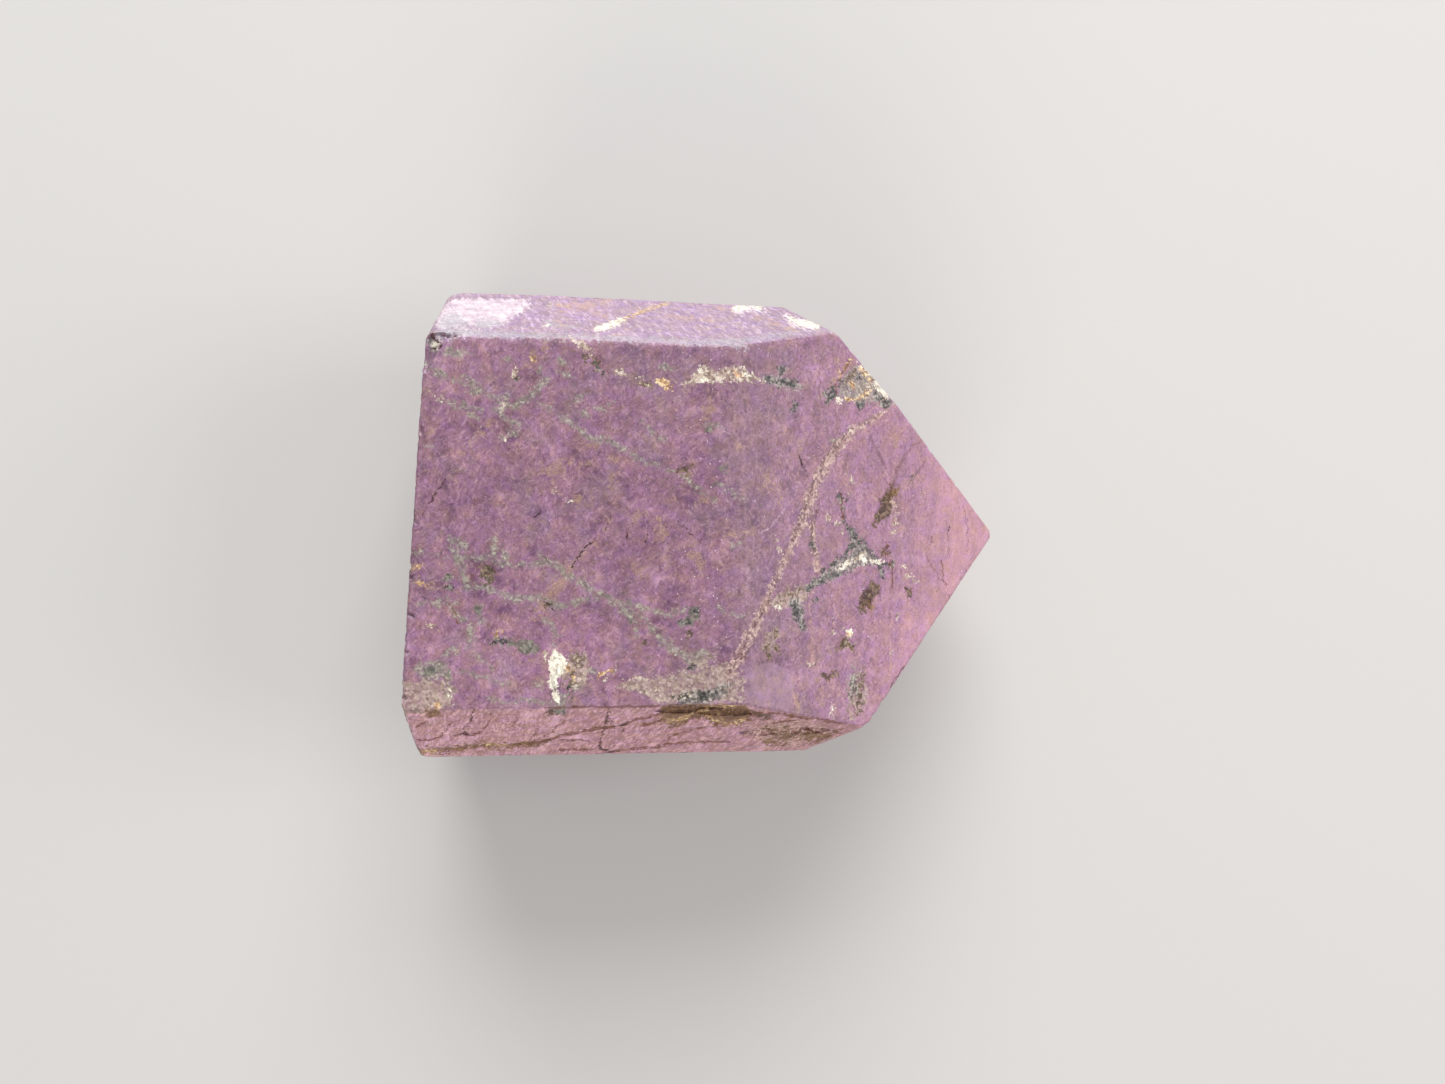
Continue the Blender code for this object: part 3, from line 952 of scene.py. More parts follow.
        ), "spots": (
            (663, 384, 8, 4, 15), (733, 374, 7, 3, 10), (532, 360, 4, 6, 20), (524, 365, 5, 3, 30),
            (451, 383, 6, 4), (430, 433, 5, 4), (459, 450, 4, 4), (767, 480, 6.4, 9, -15),
            (550, 470, 12, 6, 15), (560, 465, 8, 5), (662, 530, 5, 11), (641, 516, 8, 6),
            (585, 465, 6, 5), (577, 500, 5, 9), (668, 559, 4, 6), (430, 625, 6, 6, 20),
            (635, 569, 3, 8), (749, 532, 6, 4), (690, 470, 4, 8, 30), (705, 500, 7, 5),
            (440, 620, 3, 5), (643, 643, 4, 5), (857, 389, 5, 4), (868, 384, 4, 3), (850, 634, 3, 2.6),
            (847, 643, 5, 5), (594, 447, 4, 5), (612, 459, 5, 4), (545, 348, 5, 4, 60),
            (612, 482, 5, 8), (570, 685, 5, 10), (785, 597, 6, 5, -20), (640, 575, 6, 6),
            (400, 709, 4, 3), (800, 445, 3, 8, 20),
        )},
        "under": {"spots": (
            (-150, 40, 14, 9, 20), (20, -30, 12, 9), (110, 110, 9, 12), (-60, 130, 9, 6),
            (180, -10, 10, 8), (-220, -80, 10, 8),
        )},
        "base": {"spots": (
            (-80, 250, 12, 8, 20), (120, 160, 12, 9), (-10, 140, 9, 12), (-160, 40, 10, 7),
        )},
        "leftSide": {"spots": ((20, 100, 12, 7), (120, 60, 9, 7, 10), (-100, 40, 10, 7))},
        "rightSide": {"spots": ((-180, 60, 12, 7), (60, 110, 9, 7, 10), (160, 30, 10, 7))},
    },
    "speck": {
        "reach": 6.0,
        "photo": {"routes": (
            ((848, 528, 2), (853, 534, 4), (857, 543, 6), (861, 551, 9), (866, 557, 9), (873, 562, 5),
             (879, 564, 3)),
            ((862, 556, 8.6), (852, 561, 8.4), (843, 566, 7.6), (834, 571, 6.4), (824, 577, 5),
             (815, 583, 4), (807, 589, 3)),
            ((795, 603, 6), (797, 611, 7), (800, 619, 5), (803, 627, 2.6)),
            ((764, 378, 3), (776, 381, 5.4), (790, 384, 5), (801, 387, 3)),
            ((826, 392, 3), (830, 398, 4), (828, 402, 2)),
        ), "spots": (
            (433, 344, 6, 8, -20), (688, 622, 3, 2.4), (854, 684, 4, 12, 10),
        ), "areas": (
            ((874, 396), (882, 394), (889, 397), (895, 404), (888, 408), (880, 406)),
            ((674, 696), (690, 692), (706, 690), (722, 683), (730, 684), (722, 698), (708, 705),
             (676, 706)),
        )},
        "under": {"spots": ((110, 52, 12, 8),)},
        "base": {"spots": ((-110, 216, 12, 7, 20), (168, 296, 16, 10))},
        "leftSide": {"spots": ((120, 133, 12, 6),)},
        "rightSide": {"spots": ((-128, 118, 12, 6),)},
    },
    "limonite": {
        "reach": 9.0,
        "photo": {"routes": (
            ((417, 752.5, 2.4), (430, 752, 2.6), (446, 750.6, 2.4), (458, 749.6, 2.2), (469, 748, 2.2),
             (479, 746, 2.2), (493, 746.5, 2.8), (503, 747, 2.8), (513, 746.5, 2.2), (524, 744.4, 2.2),
             (538, 743.6, 2), (550, 740, 1.2)),
            ((804, 739, 1), (811, 738, 2.6), (818, 738, 3), (828, 735, 1.8), (840, 731, 1)),
            ((780, 736, 1), (786, 736, 3), (793, 737, 1.6)),
            ((764, 729, 0.8), (776, 731, 1.8), (786, 729, 0.8)),
            ((778, 744, 0.6), (782, 744, 1), (786, 743, 0.6)),
        ), "areas": (
            ((660, 708), (670, 704), (690, 703), (712, 705), (734, 705), (747, 707), (751, 713),
             (750, 721), (736, 726), (716, 727), (708, 722), (700, 719), (690, 721), (682, 725),
             (670, 727), (661, 722)),
            ((426, 711), (440, 711), (441, 716), (432, 718), (426, 716)),
        ), "spots": (
            (893, 495, 4, 7, 14), (869, 606, 3, 3, 30), (787, 736, 8, 4), (812, 738, 10, 4.6, -8),
            (770, 742, 6, 2.4, 20),
        )},
        "under": {"spots": ((-262, 104, 8, 5),)},
        "leftSide": {"spots": ((40, 36, 10, 4),)},
        "rightSide": {"spots": ((-74, 30, 14, 5),)},
        "base": {"spots": ((10, 294, 12, 6),)},
    },
    "gold": {
        "reach": 4.0,
        "photo": {"routes": (
            ((657, 381, 1.6), (661, 382, 4), (667, 386, 3.6), (673, 388, 1.4)),
            ((599, 676, 1), (606, 672, 2.2), (614, 668, 1)),
            ((860, 368, 1), (866, 374, 1.8), (871, 380, 1.6)),
            ((845, 399, 1), (852, 400, 1.8), (860, 397, 1.8), (867, 393, 3), (870, 390, 1.4)),
            ((420, 753, 0.8), (428, 753, 1.6), (436, 752, 0.8)),
            ((486, 746, 0.6), (495, 746, 1.4), (506, 747, 0.6)),
            ((624, 319, 0.8), (640, 312.5, 1.2), (655, 307, 1.3), (667, 303.6, 1)),
            ((733, 370, 1.6), (738, 374, 2.4), (742, 377, 1.4)),
            ((851, 358, 0.8), (846, 366, 1.6), (840, 376, 1.2)),
            ((662, 720, 0.5), (674, 723, 0.8), (686, 719, 0.8), (698, 713, 1), (710, 709, 0.9),
             (722, 706, 0.5)),
            ((706, 716, 0.6), (714, 722, 0.7), (730, 725, 0.8), (746, 721, 0.5)),
            ((724, 709, 0.5), (736, 707, 0.8), (746, 706, 0.5)),
        ), "spots": (
            (852, 385, 3, 3), (437, 706, 3.2, 3.2), (848, 634, 2.4, 2), (500, 633, 6, 2, -20),
            (533, 359, 3, 2.4, 30), (568, 668, 2.4, 3), (574, 678, 2.4, 3), (422, 584, 4, 2, 20),
            (413, 567, 5, 1.8, -10),
        )},
        "base": {"spots": ((60, 92, 5, 3),)},
        "under": {"spots": ((60, 120, 5, 3),)},
    },
    # grey mineral patches, and painted highlights: the pale strip along the top ridge and the left edge
    # of the long tan spot
    "ashAndHighlight": {
        "reach": 6.0,
        "photo": {"routes": (
            ((437, 333, 2), (450, 332, 4), (480, 333, 3.4), (520, 335, 2.6), (580, 337, 2.2),
             (640, 339, 2), (700, 342, 2), (726, 342, 3), (745, 340, 2), (770, 336, 1.6),
             (800, 331, 1.4)),
            ((478, 325, 3), (490, 322, 4), (498, 324, 2)),
            ((548, 322, 3), (556, 325, 2.4), (575, 326, 1.4)),
        ), "areas": (
            ((438, 326), (444, 316), (452, 311), (460, 315), (468, 324), (454, 328)),
            ((476, 320), (488, 319), (499, 323), (497, 327), (486, 328), (478, 325)),
        ), "spots": (
            (445, 332, 8, 3), (740, 345, 10, 3, 10), (442, 338, 8, 3, 20), (851, 680, 2.6, 9, 12),
        )},
        "leftSide": {"spots": ((-40, 100, 14, 8, 10), (90, 60, 10, 8))},
        "rightSide": {"spots": ((-120, 110, 12, 6),)},
    },
    "silk": {
        "reach": 5.0,
        "photo": {"areas": (
            ((744, 668), (770, 662), (793, 672), (796, 700), (790, 713), (765, 709), (744, 704)),
        )},
        "under": {"spots": ((-100, -60, 30, 20, 10), (100, 80, 26, 18, -20))},
        "base": {"spots": ((50, 150, 26, 20),)},
    },
    "crumble": {
        "reach": 6.0,
        "photo": {"areas": (
            ((746, 735), (756, 728), (775, 722), (800, 722), (825, 727), (836, 731), (828, 737),
             (815, 742), (790, 746), (764, 743)),
        )},
        "under": {"spots": ((-250, 110, 14, 10), (40, 74, 12, 7), (150, -90, 12, 9))},
        "base": {"spots": ((170, 280, 20, 14), (20, 292, 14, 8))},
        "leftSide": {"spots": ((20, 40, 16, 7), (170, 124, 10, 8))},
        "rightSide": {"spots": ((-70, 28, 18, 7), (100, 118, 12, 8))},
    },
    # painted reflection of the window-side lamp: pale streaky patches on the upper side, not a mineral
    "paintedReflection": {
        "reach": 5.0,
        "photo": {"areas": (
            ((433, 331), (436, 321), (442, 309), (449, 297), (458, 291), (500, 291), (530, 292),
             (548, 295), (542, 300), (530, 305), (522, 311), (512, 318), (504, 324), (494, 328),
             (478, 328), (466, 324), (460, 328), (450, 334), (440, 336)),
            ((733, 312), (736, 307), (745, 305), (760, 308), (768, 313), (760, 312), (748, 310),
             (740, 314)),
            ((784, 315), (792, 316), (802, 320), (812, 323), (818, 328), (808, 330), (798, 327),
             (790, 321)),
        ), "spots": (
            (462, 328, 11, 1.6), (460, 334, 11, 1.4),
        )},
    },
}

hairlines = {
    "crack": {
        "reach": 6.0,
        "photo": (
            ((430, 333, 1.4), (434, 338, 1.8), (441, 344, 1.2)),
            ((428, 346, 1), (434, 350, 1.2), (441, 346, 1)),
            ((445, 477, 0.6), (441, 485, 1), (436, 492, 1.1), (431, 501, 1), (425, 510, 0.6),
             (420, 516, 0.4)),
            ((473, 710, 0.9), (472, 719, 1.2), (467, 725, 0.9), (463, 730, 0.9), (466, 734, 1)),
            ((456, 736, 0.8), (463, 734, 1.1), (469, 735, 0.5)),
            ((604, 703, 0.7), (609, 712, 1), (606, 721, 1.5), (604, 730, 1.1), (601, 739, 0.9),
             (599, 747, 1.3), (603, 751, 0.9), (614, 752, 0.8)),
            ((610, 718, 0.6), (611, 724, 1)),
            ((614, 728, 0.6), (621, 726, 1.2), (627, 724, 0.9)),
            ((621, 733, 0.7), (624, 729, 0.9)),
            ((612, 515, 0.8), (606, 527, 0.6), (600, 536, 0.6), (590, 544, 1.1), (584, 550, 0.9),
             (578, 558, 1.1), (573, 566, 0.9), (565, 574, 0.6)),
            ((538, 552, 0.8), (544, 557, 0.9), (548, 563, 0.6)),
            ((676, 518, 0.5), (684, 527, 0.9), (693, 536, 0.7), (704, 547, 0.4)),
            ((625, 529, 0.5), (627, 538, 1), (624, 545, 0.5)),
            ((648, 534, 0.6), (645, 541, 0.9), (642, 548, 0.5)),
            ((545, 508, 0.4), (540, 513, 1), (532, 517, 0.6)),
            ((799, 455, 0.6), (802, 464, 1), (806, 471, 0.6)),
            ((543, 600, 0.8), (549, 606, 1.1), (556, 613, 0.5)),
            ((412, 500, 0.6), (414, 512, 0.7), (411, 524, 1), (410, 532, 0.8)),
            ((905, 666, 0.5), (898, 676, 0.6), (890, 688, 0.5)),
            ((931, 537, 0.7), (933, 543, 0.9)),
            ((949, 526, 0.6), (949, 531, 0.8)),
        ),
        "under": (
            ((-190, 120, 0.6), (-150, 60, 1.2), (-120, 20, 1), (-60, -20, 1.2), (-20, -90, 0.8),
             (0, -140, 0.6)),
            ((-60, -20, 0.8), (-10, 10, 1), (50, 20, 0.8), (90, 50, 0.5)),
            ((100, -120, 0.5), (130, -60, 1), (170, -20, 0.9), (200, 40, 0.6)),
        ),
        "base": (
            ((-210, 250, 0.6), (-150, 200, 1.1), (-90, 180, 0.8), (-30, 130, 1), (10, 60, 0.8),
             (30, 10, 0.6)),
            ((60, 310, 0.6), (90, 250, 1), (150, 210, 0.8), (220, 200, 0.6)),
        ),
        "leftSide": (
            ((-60, 160, 0.6), (-20, 120, 1), (30, 90, 0.9), (60, 30, 1), (70, 0, 0.6)),
            ((130, 160, 0.6), (160, 100, 1), (220, 60, 0.8), (280, 50, 0.6)),
        ),
        "rightSide": (
            ((-270, 140, 0.6), (-200, 100, 1), (-140, 96, 0.8), (-60, 40, 1), (-40, 0, 0.6)),
            ((80, 160, 0.6), (110, 100, 1), (150, 70, 0.8), (170, 20, 0.6)),
        ),
    },
    "thread": {
        "reach": 4.0,
        "photo": (
            ((492, 711, 0.5), (488, 724, 0.7), (482, 732, 0.9), (471, 736, 0.8), (464, 735, 0.5)),
            ((452, 722, 0.6), (446, 730, 0.9), (441, 737, 0.8), (428, 741, 0.8), (416, 740, 0.7)),
            ((424, 724, 0.8), (416, 727, 0.7)),
            ((513, 746, 0.8), (524, 744, 1.2), (538, 744, 1.2), (550, 740, 1.4), (560, 735.6, 1),
             (578, 733, 1), (591, 730, 1.2), (603, 728, 1), (612, 727, 0.8), (626, 725, 1),
             (634, 720, 1.1), (646, 718, 1), (660, 714, 0.8)),
            ((640, 726, 0.7), (653, 723, 1.1), (664, 720, 1)),
            ((560, 750, 0.7), (580, 750, 0.9), (596, 749, 0.5)),
            ((612, 751, 0.7), (622, 750, 0.9), (638, 749, 0.8), (649, 747, 1), (658, 748, 1),
             (663, 746, 0.7)),
            ((544, 738, 0.5), (556, 728, 0.7), (566, 720, 0.5)),
            ((528, 742, 0.5), (536, 733, 0.7), (540, 726, 0.5)),
            ((506, 732, 0.5), (514, 724, 0.7), (519, 716, 0.5)),
            ((560, 741, 0.5), (576, 740, 0.8), (590, 741, 0.6)),
            ((664, 741, 0.5), (680, 733, 0.7), (700, 728, 0.6), (716, 726, 0.5)),
            ((640, 750, 0.5), (670, 744, 0.7), (700, 742, 0.6), (730, 742, 0.7)),
            ((890, 560, 0.5), (892, 575, 0.9), (891, 588, 0.7)),
            ((840, 492, 0.7), (842, 506, 0.7), (843, 520, 1)),
            ((887, 540, 0.5), (887, 556, 0.6)),
            ((950, 600, 0.4), (944, 580, 0.5), (941, 560, 0.5)),
            ((450, 604, 0.6), (455, 614, 0.9), (459, 624, 0.8)),
            ((850, 360, 0.8), (846, 368, 1.2), (842, 376, 1), (836, 384, 0.8), (836, 394, 0.8)),
            ((545, 708, 0.6), (580, 707, 0.9), (620, 707, 1), (660, 706, 1)),
            ((749, 715, 0.9), (761, 715, 1.3), (777, 713.4, 0.9), (801, 717.6, 1.1), (818, 719, 1),
             (832, 722, 1.2), (845, 724, 0.8)),
            ((806, 730, 0.8), (815, 733, 1.3), (823, 735, 1)),
            ((770, 726, 0.6), (782, 722, 1), (796, 721, 0.8)),
        ),
        "under": (
            ((-230, 40, 0.8), (-150, 50, 1.4), (-80, 40, 1), (-10, 60, 1.4), (60, 40, 1),
             (130, 60, 0.8)),
            ((-180, -110, 0.6), (-100, -90, 1), (-20, -110, 0.8)),
        ),
        "base": (
            ((-210, 110, 0.8), (-120, 120, 1.2), (-40, 100, 1), (60, 120, 1.4), (150, 100, 0.8)),
            ((-100, 290, 0.6), (-20, 270, 1), (60, 280, 0.8)),
        ),
        "leftSide": (
            ((-170, 90, 0.6), (-80, 84, 1.2), (20, 76, 1), (110, 88, 1.3), (230, 80, 0.7)),
            ((-40, 150, 0.6), (40, 146, 1), (140, 150, 0.7)),
        ),
        "rightSide": (
            ((-290, 100, 0.7), (-190, 84, 1.2), (-90, 90, 1), (20, 78, 1.3), (130, 86, 0.7)),
            ((-130, 150, 0.6), (-40, 140, 1), (60, 146, 0.7)),
        ),
    },
    "faint": {
        "reach": 2.0,
        "photo": (
            ((822, 352, 0.5), (820, 376, 0.6), (819, 396, 0.8), (822, 408, 0.8), (830, 404, 0.6)),
            ((836, 405, 0.6), (837, 420, 0.9), (837, 432, 0.6)),
            ((826, 410, 0.7), (826, 424, 0.9), (828, 436, 0.6)),
            ((868, 430, 0.7), (872, 440, 1.1), (878, 452, 1), (884, 463, 1.1), (890, 474, 0.9)),
            ((925, 440, 0.7), (913, 446, 0.9), (907, 454, 1.2), (901, 462, 1.4), (897, 470, 1.5),
             (895, 482, 1.5), (892, 489, 1.2)),
            ((926, 462, 0.7), (919, 471, 1.1), (913, 478, 1.2)),
            ((946, 515, 0.3), (948, 535, 0.6), (949, 560, 0.4)),
            ((962, 498, 0.3), (967, 520, 0.5), (968, 552, 0.3)),
            ((920, 540, 0.4), (929, 562, 0.7), (941, 580, 0.6), (954, 588, 0.4)),
            ((700, 560, 0.4), (716, 566, 0.7), (735, 560, 0.5)),
            ((640, 470, 0.4), (652, 482, 0.8), (660, 498, 0.5)),
            ((470, 500, 0.4), (482, 512, 0.7), (500, 518, 0.5)),
            ((560, 640, 0.4), (575, 646, 0.7), (592, 644, 0.5)),
            ((740, 440, 0.5), (752, 462, 0.8), (758, 486, 0.5)),
        ),
    },
    "salmon": {
        "reach": 2.0,
        "photo": (
            ((585, 308, 0.8), (592, 311, 1.1), (600, 314, 1), (607, 318, 0.8)),
            ((791, 688, 0.7), (795, 698, 1), (799, 709, 0.8)),
            ((815, 587, 0.6), (810, 601, 0.9), (811, 628, 0.9), (812, 646, 0.8), (813, 662, 1)),
            ((890, 643, 0.8), (891, 660, 1), (890, 678, 0.8)),
            ((803, 688, 0.6), (806, 706, 0.8)),
            ((818, 666, 0.6), (822, 684, 0.8), (824, 702, 0.6)),
            ((893, 612, 0.7), (891, 632, 0.9)),
            ((833, 596, 0.5), (836, 612, 0.7), (834, 626, 0.5)),
            ((826, 516, 0.7), (834, 515, 1), (842, 520, 1)),
            ((905, 600, 0.5), (915, 610, 0.8), (922, 622, 0.5)),
            ((858, 436, 0.6), (872, 424, 0.9), (886, 412, 0.7)),
            ((862, 418, 0.6), (876, 406, 0.8), (888, 398, 0.5)),
        ),
    },
    "maroon": {
        "reach": 2.0,
        "photo": (
            ((815, 480, 0.8), (811, 492, 1), (806, 506, 1.2), (801, 520, 1.6), (797, 531, 1.8),
             (792, 542, 1.2)),
            ((820, 500, 0.6), (815, 516, 1), (811, 532, 1.2), (812, 546, 1)),
            ((778, 580, 1), (772, 592, 1.4), (768, 602, 1)),
            ((764, 606, 1.2), (760, 616, 1.6), (755, 628, 1.2)),
            ((749, 634, 1.2), (744, 645, 1.8), (740, 654, 1.8), (735, 664, 1.2)),
            ((752, 640, 0.8), (748, 650, 1.2), (744, 660, 0.8)),
            ((829, 452, 0.6), (822, 464, 0.9), (818, 476, 0.7)),
            ((846, 434, 0.5), (838, 447, 0.9), (832, 458, 0.7)),
        ),
    },
    "scratch": {
        "reach": 2.0,
        "photo": (
            ((802, 482, 0.6), (792, 498, 0.9), (782, 514, 1.1), (773, 525, 1), (761, 533, 0.7)),
            ((712, 426, 0.8), (722, 427, 1), (733, 436, 0.8)),
            ((870, 513, 0.4), (869, 520, 0.7), (867, 536, 0.5)),
            ((418, 628, 0.4), (424, 628, 0.8), (430, 627, 0.4)),
            ((402, 652, 0.5), (408, 653, 0.8), (416, 653, 0.4)),
            ((494, 411, 0.6), (484, 422, 0.8), (474, 436, 0.7), (466, 450, 0.5)),
            ((962, 498, 0.3), (965, 520, 0.5), (968, 548, 0.3)),
            ((942, 500, 0.3), (947, 530, 0.5), (948, 560, 0.3)),
            ((924, 490, 0.4), (928, 500, 0.7), (929, 508, 0.4)),
            ((648, 318, 0.4), (668, 330, 0.4)),
            ((724, 318, 0.4), (722, 326, 0.7), (723, 332, 0.4)),
            ((470, 480, 0.5), (478, 481, 0.7)),
            ((700, 377, 0.5), (698, 396, 0.4)),
        ),
    },
}


def layMarks():
    for kind, plan in marks.items():
        for board in boards:
            drawn = plan.get(board, {})
            for route in drawn.get("routes", ()):
                drawRoute(kind, board, route, plan["reach"], plan.get("dip", (0.0, 0.0)))
            for spot in drawn.get("spots", ()):
                drawSpot(kind, board, spot, plan["reach"])
            for corners in drawn.get("areas", ()):
                drawArea(kind, board, corners, plan["reach"])
    for kind, plan in hairlines.items():
        for board in boards:
            for route in plan.get(board, ()):
                drawRoute(kind, board, route, plan["reach"], line=True)


layMarks()
print("marks laid out:", ", ".join(sorted(fields)))


# wear, tone, and painted light and shade

tonePlan = {
    "ridgeReach": 1.1,          # mm that a worn ridge reaches over its faces
    # the parts of a face's normal over which a tone comes in
    "sideAside": (0.45, 0.85),
    "sideUp": (0.1, 0.35),
    "slopeAhead": (0.15, 0.5),
    "topUp": (0.85, 0.95),
    "topAhead": 0.05,
    "tipFaceAhead": (0.05, 0.2),
    "tipFaceUp": (0.5, 0.8),
    "shadeAside": (0.3, 0.6),
    # mm from the middle of the stone over which it does
    "slopeAlong": (4.0, 24.0),
    "tipAlong": (25.0, 35.0),
    "tipBend": 0.12,            # the tip's tone starts later away from the middle line
    "tipCorner": (-6.0, 0.5),   # and sooner from this place across, by so much
}

# how far each filling is polished down, of the full depth
recessPlan = {
    "rust": 1.0,
    "dark": 0.35,
    "tan": 0.4,
    "pale": 0.25,
    "crumble": 0.5,
    "limonite": 1.0,
    "speck": 0.25,
}
recessRim = (-1.0, 2.5)         # pixels inside a filling over which it goes down
crackPlan = {
    "share": 0.5,               # of the full depth
    "rim": (-0.6, 0.8),
    "half": 2,                  # pixels to each side
}


def softStep(values, low, high):
    share = np.clip((values - low) / (high - low), 0, 1)
    return share * share * (3 - 2 * share)


def ridgeWear(points, reach):
    tree = KDTree(len(points))
    for i, point in enumerate(points):
        tree.insert(point, i)
    tree.balance()
    gaps = np.array([tree.find(place)[2] for place in stonePoints])
    return np.clip(1 - gaps / reach, 0, 1)


def shadeTone(along, across, ahead, aside, up, plan):
    # painted light and shade over the faces, + paler, - deeper: paler corners of the top face towards
    # the base, painted shade at the foot of the tip's slope and on the upper side towards the tip, and
    # painted light low on the tip's slope near the point and on the lower side towards the base
    topFace = softStep(up, *plan["topUp"]) * (ahead < plan["topAhead"])
    tipFace = softStep(ahead, *plan["tipFaceAhead"]) * softStep(up, *plan["tipFaceUp"])
    upperSide = softStep(aside, *plan["shadeAside"])
    lowerSide = softStep(-aside, *plan["shadeAside"])
    paleCorners = np.maximum(softStep(-along, 16.0, 36.0) * softStep(across, 8.0, 18.0),
                             softStep(-0.3 * along - across, 8.0, 24.0))
    return (topFace * paleCorners
            - 1.7 * tipFace * (1 - softStep(along, 3.0, 13.0))
            + tipFace * softStep(along, 14.0, 24.0) * softStep(-across, 6.0, 18.0)
            - 0.7 * upperSide * softStep(along, 0.0, 12.0)
            + 0.5 * lowerSide * softStep(-along, 5.0, 25.0))


def recessTone():
    # softer minerals and cracks lie lower than the purpurite
    recess = np.zeros(pointCount)
    for kind, share in recessPlan.items():
        recess = np.maximum(recess, share * softStep(field(kind), *recessRim))
    nearCrack = np.abs(field("crackSide")) < crackPlan["half"]
    cut = np.where(nearCrack, softStep(field("crack"), *crackPlan["rim"]), 0)
    return np.maximum(recess, crackPlan["share"] * cut)


def makeTones(plan):
    along, across = stonePoints[:, 0], stonePoints[:, 1]
    ahead, aside, up = stoneFacings.T
    sideUp = softStep(up, *plan["sideUp"])
    corner, gain = plan["tipCorner"]
    tipPlace = along - plan["tipBend"] * np.abs(across) + gain * np.maximum(0, corner - across)
    return {
        "ridge": ridgeWear(ridgePoints, plan["ridgeReach"]),
        # the upper side: its lavender colour, made paler with a painted sheen of the window-side lamp
        "lavender": softStep(aside, *plan["sideAside"]) * sideUp,
        "rose": softStep(-aside, *plan["sideAside"]) * sideUp,
        # slope and tip: paler towards the point, partly the stone's lighter tip and partly painted light
        "slope": softStep(ahead, *plan["slopeAhead"]) * softStep(along, *plan["slopeAlong"]),
        "tip": softStep(tipPlace, *plan["tipAlong"]),
        # painted light and shade over the faces
        "shade": shadeTone(along, across, ahead, aside, up, plan),
        "recess": recessTone(),
    }


tones = makeTones(tonePlan)
for name, values in {**fields, **tones}.items():
    layer = stoneMesh.attributes.new(name, "FLOAT", "POINT")
    layer.data.foreach_set("value", values.astype(np.float32))
print("tones laid out:", ", ".join(tones))


# relief

reliefPlan = {
    "Swell Height": 0.035,      # mm, the slow unevenness of hand polishing
    "Swell Size": 7.0,
    "Peel Height": 0.03,        # mm, the fine unevenness
    "Peel Size": 0.9,
    "Pit Depth": 0.14,
    "Pit Size": 0.75,
    "Pit Share": 0.16,
    "Recess Depth": 0.28,       # mm, where softer minerals polished lower
    "Nick Depth": 0.16,         # mm, chips along the ridges
    "Nick Size": 0.8,
}
reliefSeed = 11.0


def reliefTree(plan):
    tree = bpy.data.node_groups.new("stoneRelief", "GeometryNodeTree")
    tree.interface.new_socket("Geometry", in_out="INPUT", socket_type="NodeSocketGeometry")
    for name, value in plan.items():
        socket = tree.interface.new_socket(name, in_out="INPUT", socket_type="NodeSocketFloat")
        socket.default_value = value
    tree.interface.new_socket("Seed", in_out="INPUT", socket_type="NodeSocketFloat")
    tree.interface.new_socket("Finish", in_out="INPUT", socket_type="NodeSocketMaterial")
    tree.interface.new_socket("Geometry", in_out="OUTPUT", socket_type="NodeSocketGeometry")
    start = tree.nodes.new("NodeGroupInput").outputs
    end = tree.nodes.new("NodeGroupOutput")
    place = scaled(tree, tree.nodes.new("GeometryNodeInputPosition").outputs[0], 1 / mm)
    place = vectors(tree, "ADD", place, threeValues(tree, start["Seed"], start["Seed"]))

    def named(name):
        return addNode(tree, "GeometryNodeInputNamedAttribute", {"Name": name},
                       data_type="FLOAT").outputs["Attribute"]

    def rough(size, detail, roughness=0.5):
        return noise(tree, place, sums(tree, "DIVIDE", 1.0, size), detail, roughness)

    swell = ease(tree, rough(start["Swell Size"], 1.0), 0.3, 0.7)
    peel = ease(tree, rough(start["Peel Size"], 3.0, 0.6), 0.25, 0.75)
    pitScale = sums(tree, "DIVIDE", 1.0, start["Pit Size"])
    pitGap, pitPick = cells(tree, place, pitScale, 0, "FunctionNodeSeparateColor")
    chosen = sums(tree, "LESS_THAN", pitPick, start["Pit Share"])
    bowl = ease(tree, pitGap, 0.42, 0.1)
    uneven = linearRange(tree, rough(0.8, 3.0, 0.7), 0.3, 0.7, 0.35, 1.3)
    chip = ease(tree, rough(start["Nick Size"], 2.0, 0.6), 0.54, 0.66)
    nearRidge = ease(tree, named("ridge"), 0.45, 0.95)
    total = times(tree, swell, start["Swell Height"])
    for part in (times(tree, peel, start["Peel Height"]),
                 times(tree, bowl, chosen, start["Pit Depth"]),
                 times(tree, named("recess"), start["Recess Depth"], uneven),
                 times(tree, chip, nearRidge, start["Nick Depth"])):
        total = sums(tree, "ADD", total, part)
    normal = tree.nodes.new("GeometryNodeInputNormal").outputs[0]
    offset = scaled(tree, normal, times(tree, total, -mm))
    moved = addNode(tree, "GeometryNodeSetPosition", {"Geometry": start["Geometry"], "Offset": offset})
    whole = addNode(tree, "GeometryNodeRealizeInstances", {"Geometry": moved.outputs[0]})
    dressed = addNode(tree, "GeometryNodeSetMaterial",
                      {"Geometry": whole.outputs[0], "Material": start["Finish"]})
    tree.links.new(dressed.outputs[0], end.inputs[0])
    return tree


def carveRelief(mesh, plan, finish, seed):
    blank = bpy.data.objects.new("stoneBlank", mesh)
    scene.collection.objects.link(blank)
    carving = blank.modifiers.new("relief", "NODES")
    carving.node_group = reliefTree(plan)
    values = {**plan, "Seed": seed, "Finish": finish}
    for item in carving.node_group.interface.items_tree:
        if item.in_out == "INPUT" and item.name in values:
            carving[item.identifier] = values[item.name]
    evaluated = blank.evaluated_get(bpy.context.evaluated_depsgraph_get())
    carved = bpy.data.meshes.new_from_object(evaluated)
    bpy.data.objects.remove(blank)
    carved.name = "purpurite_stone"
    carved.shade_smooth()
    return carved


# the stone's finish: effects that are used more than once

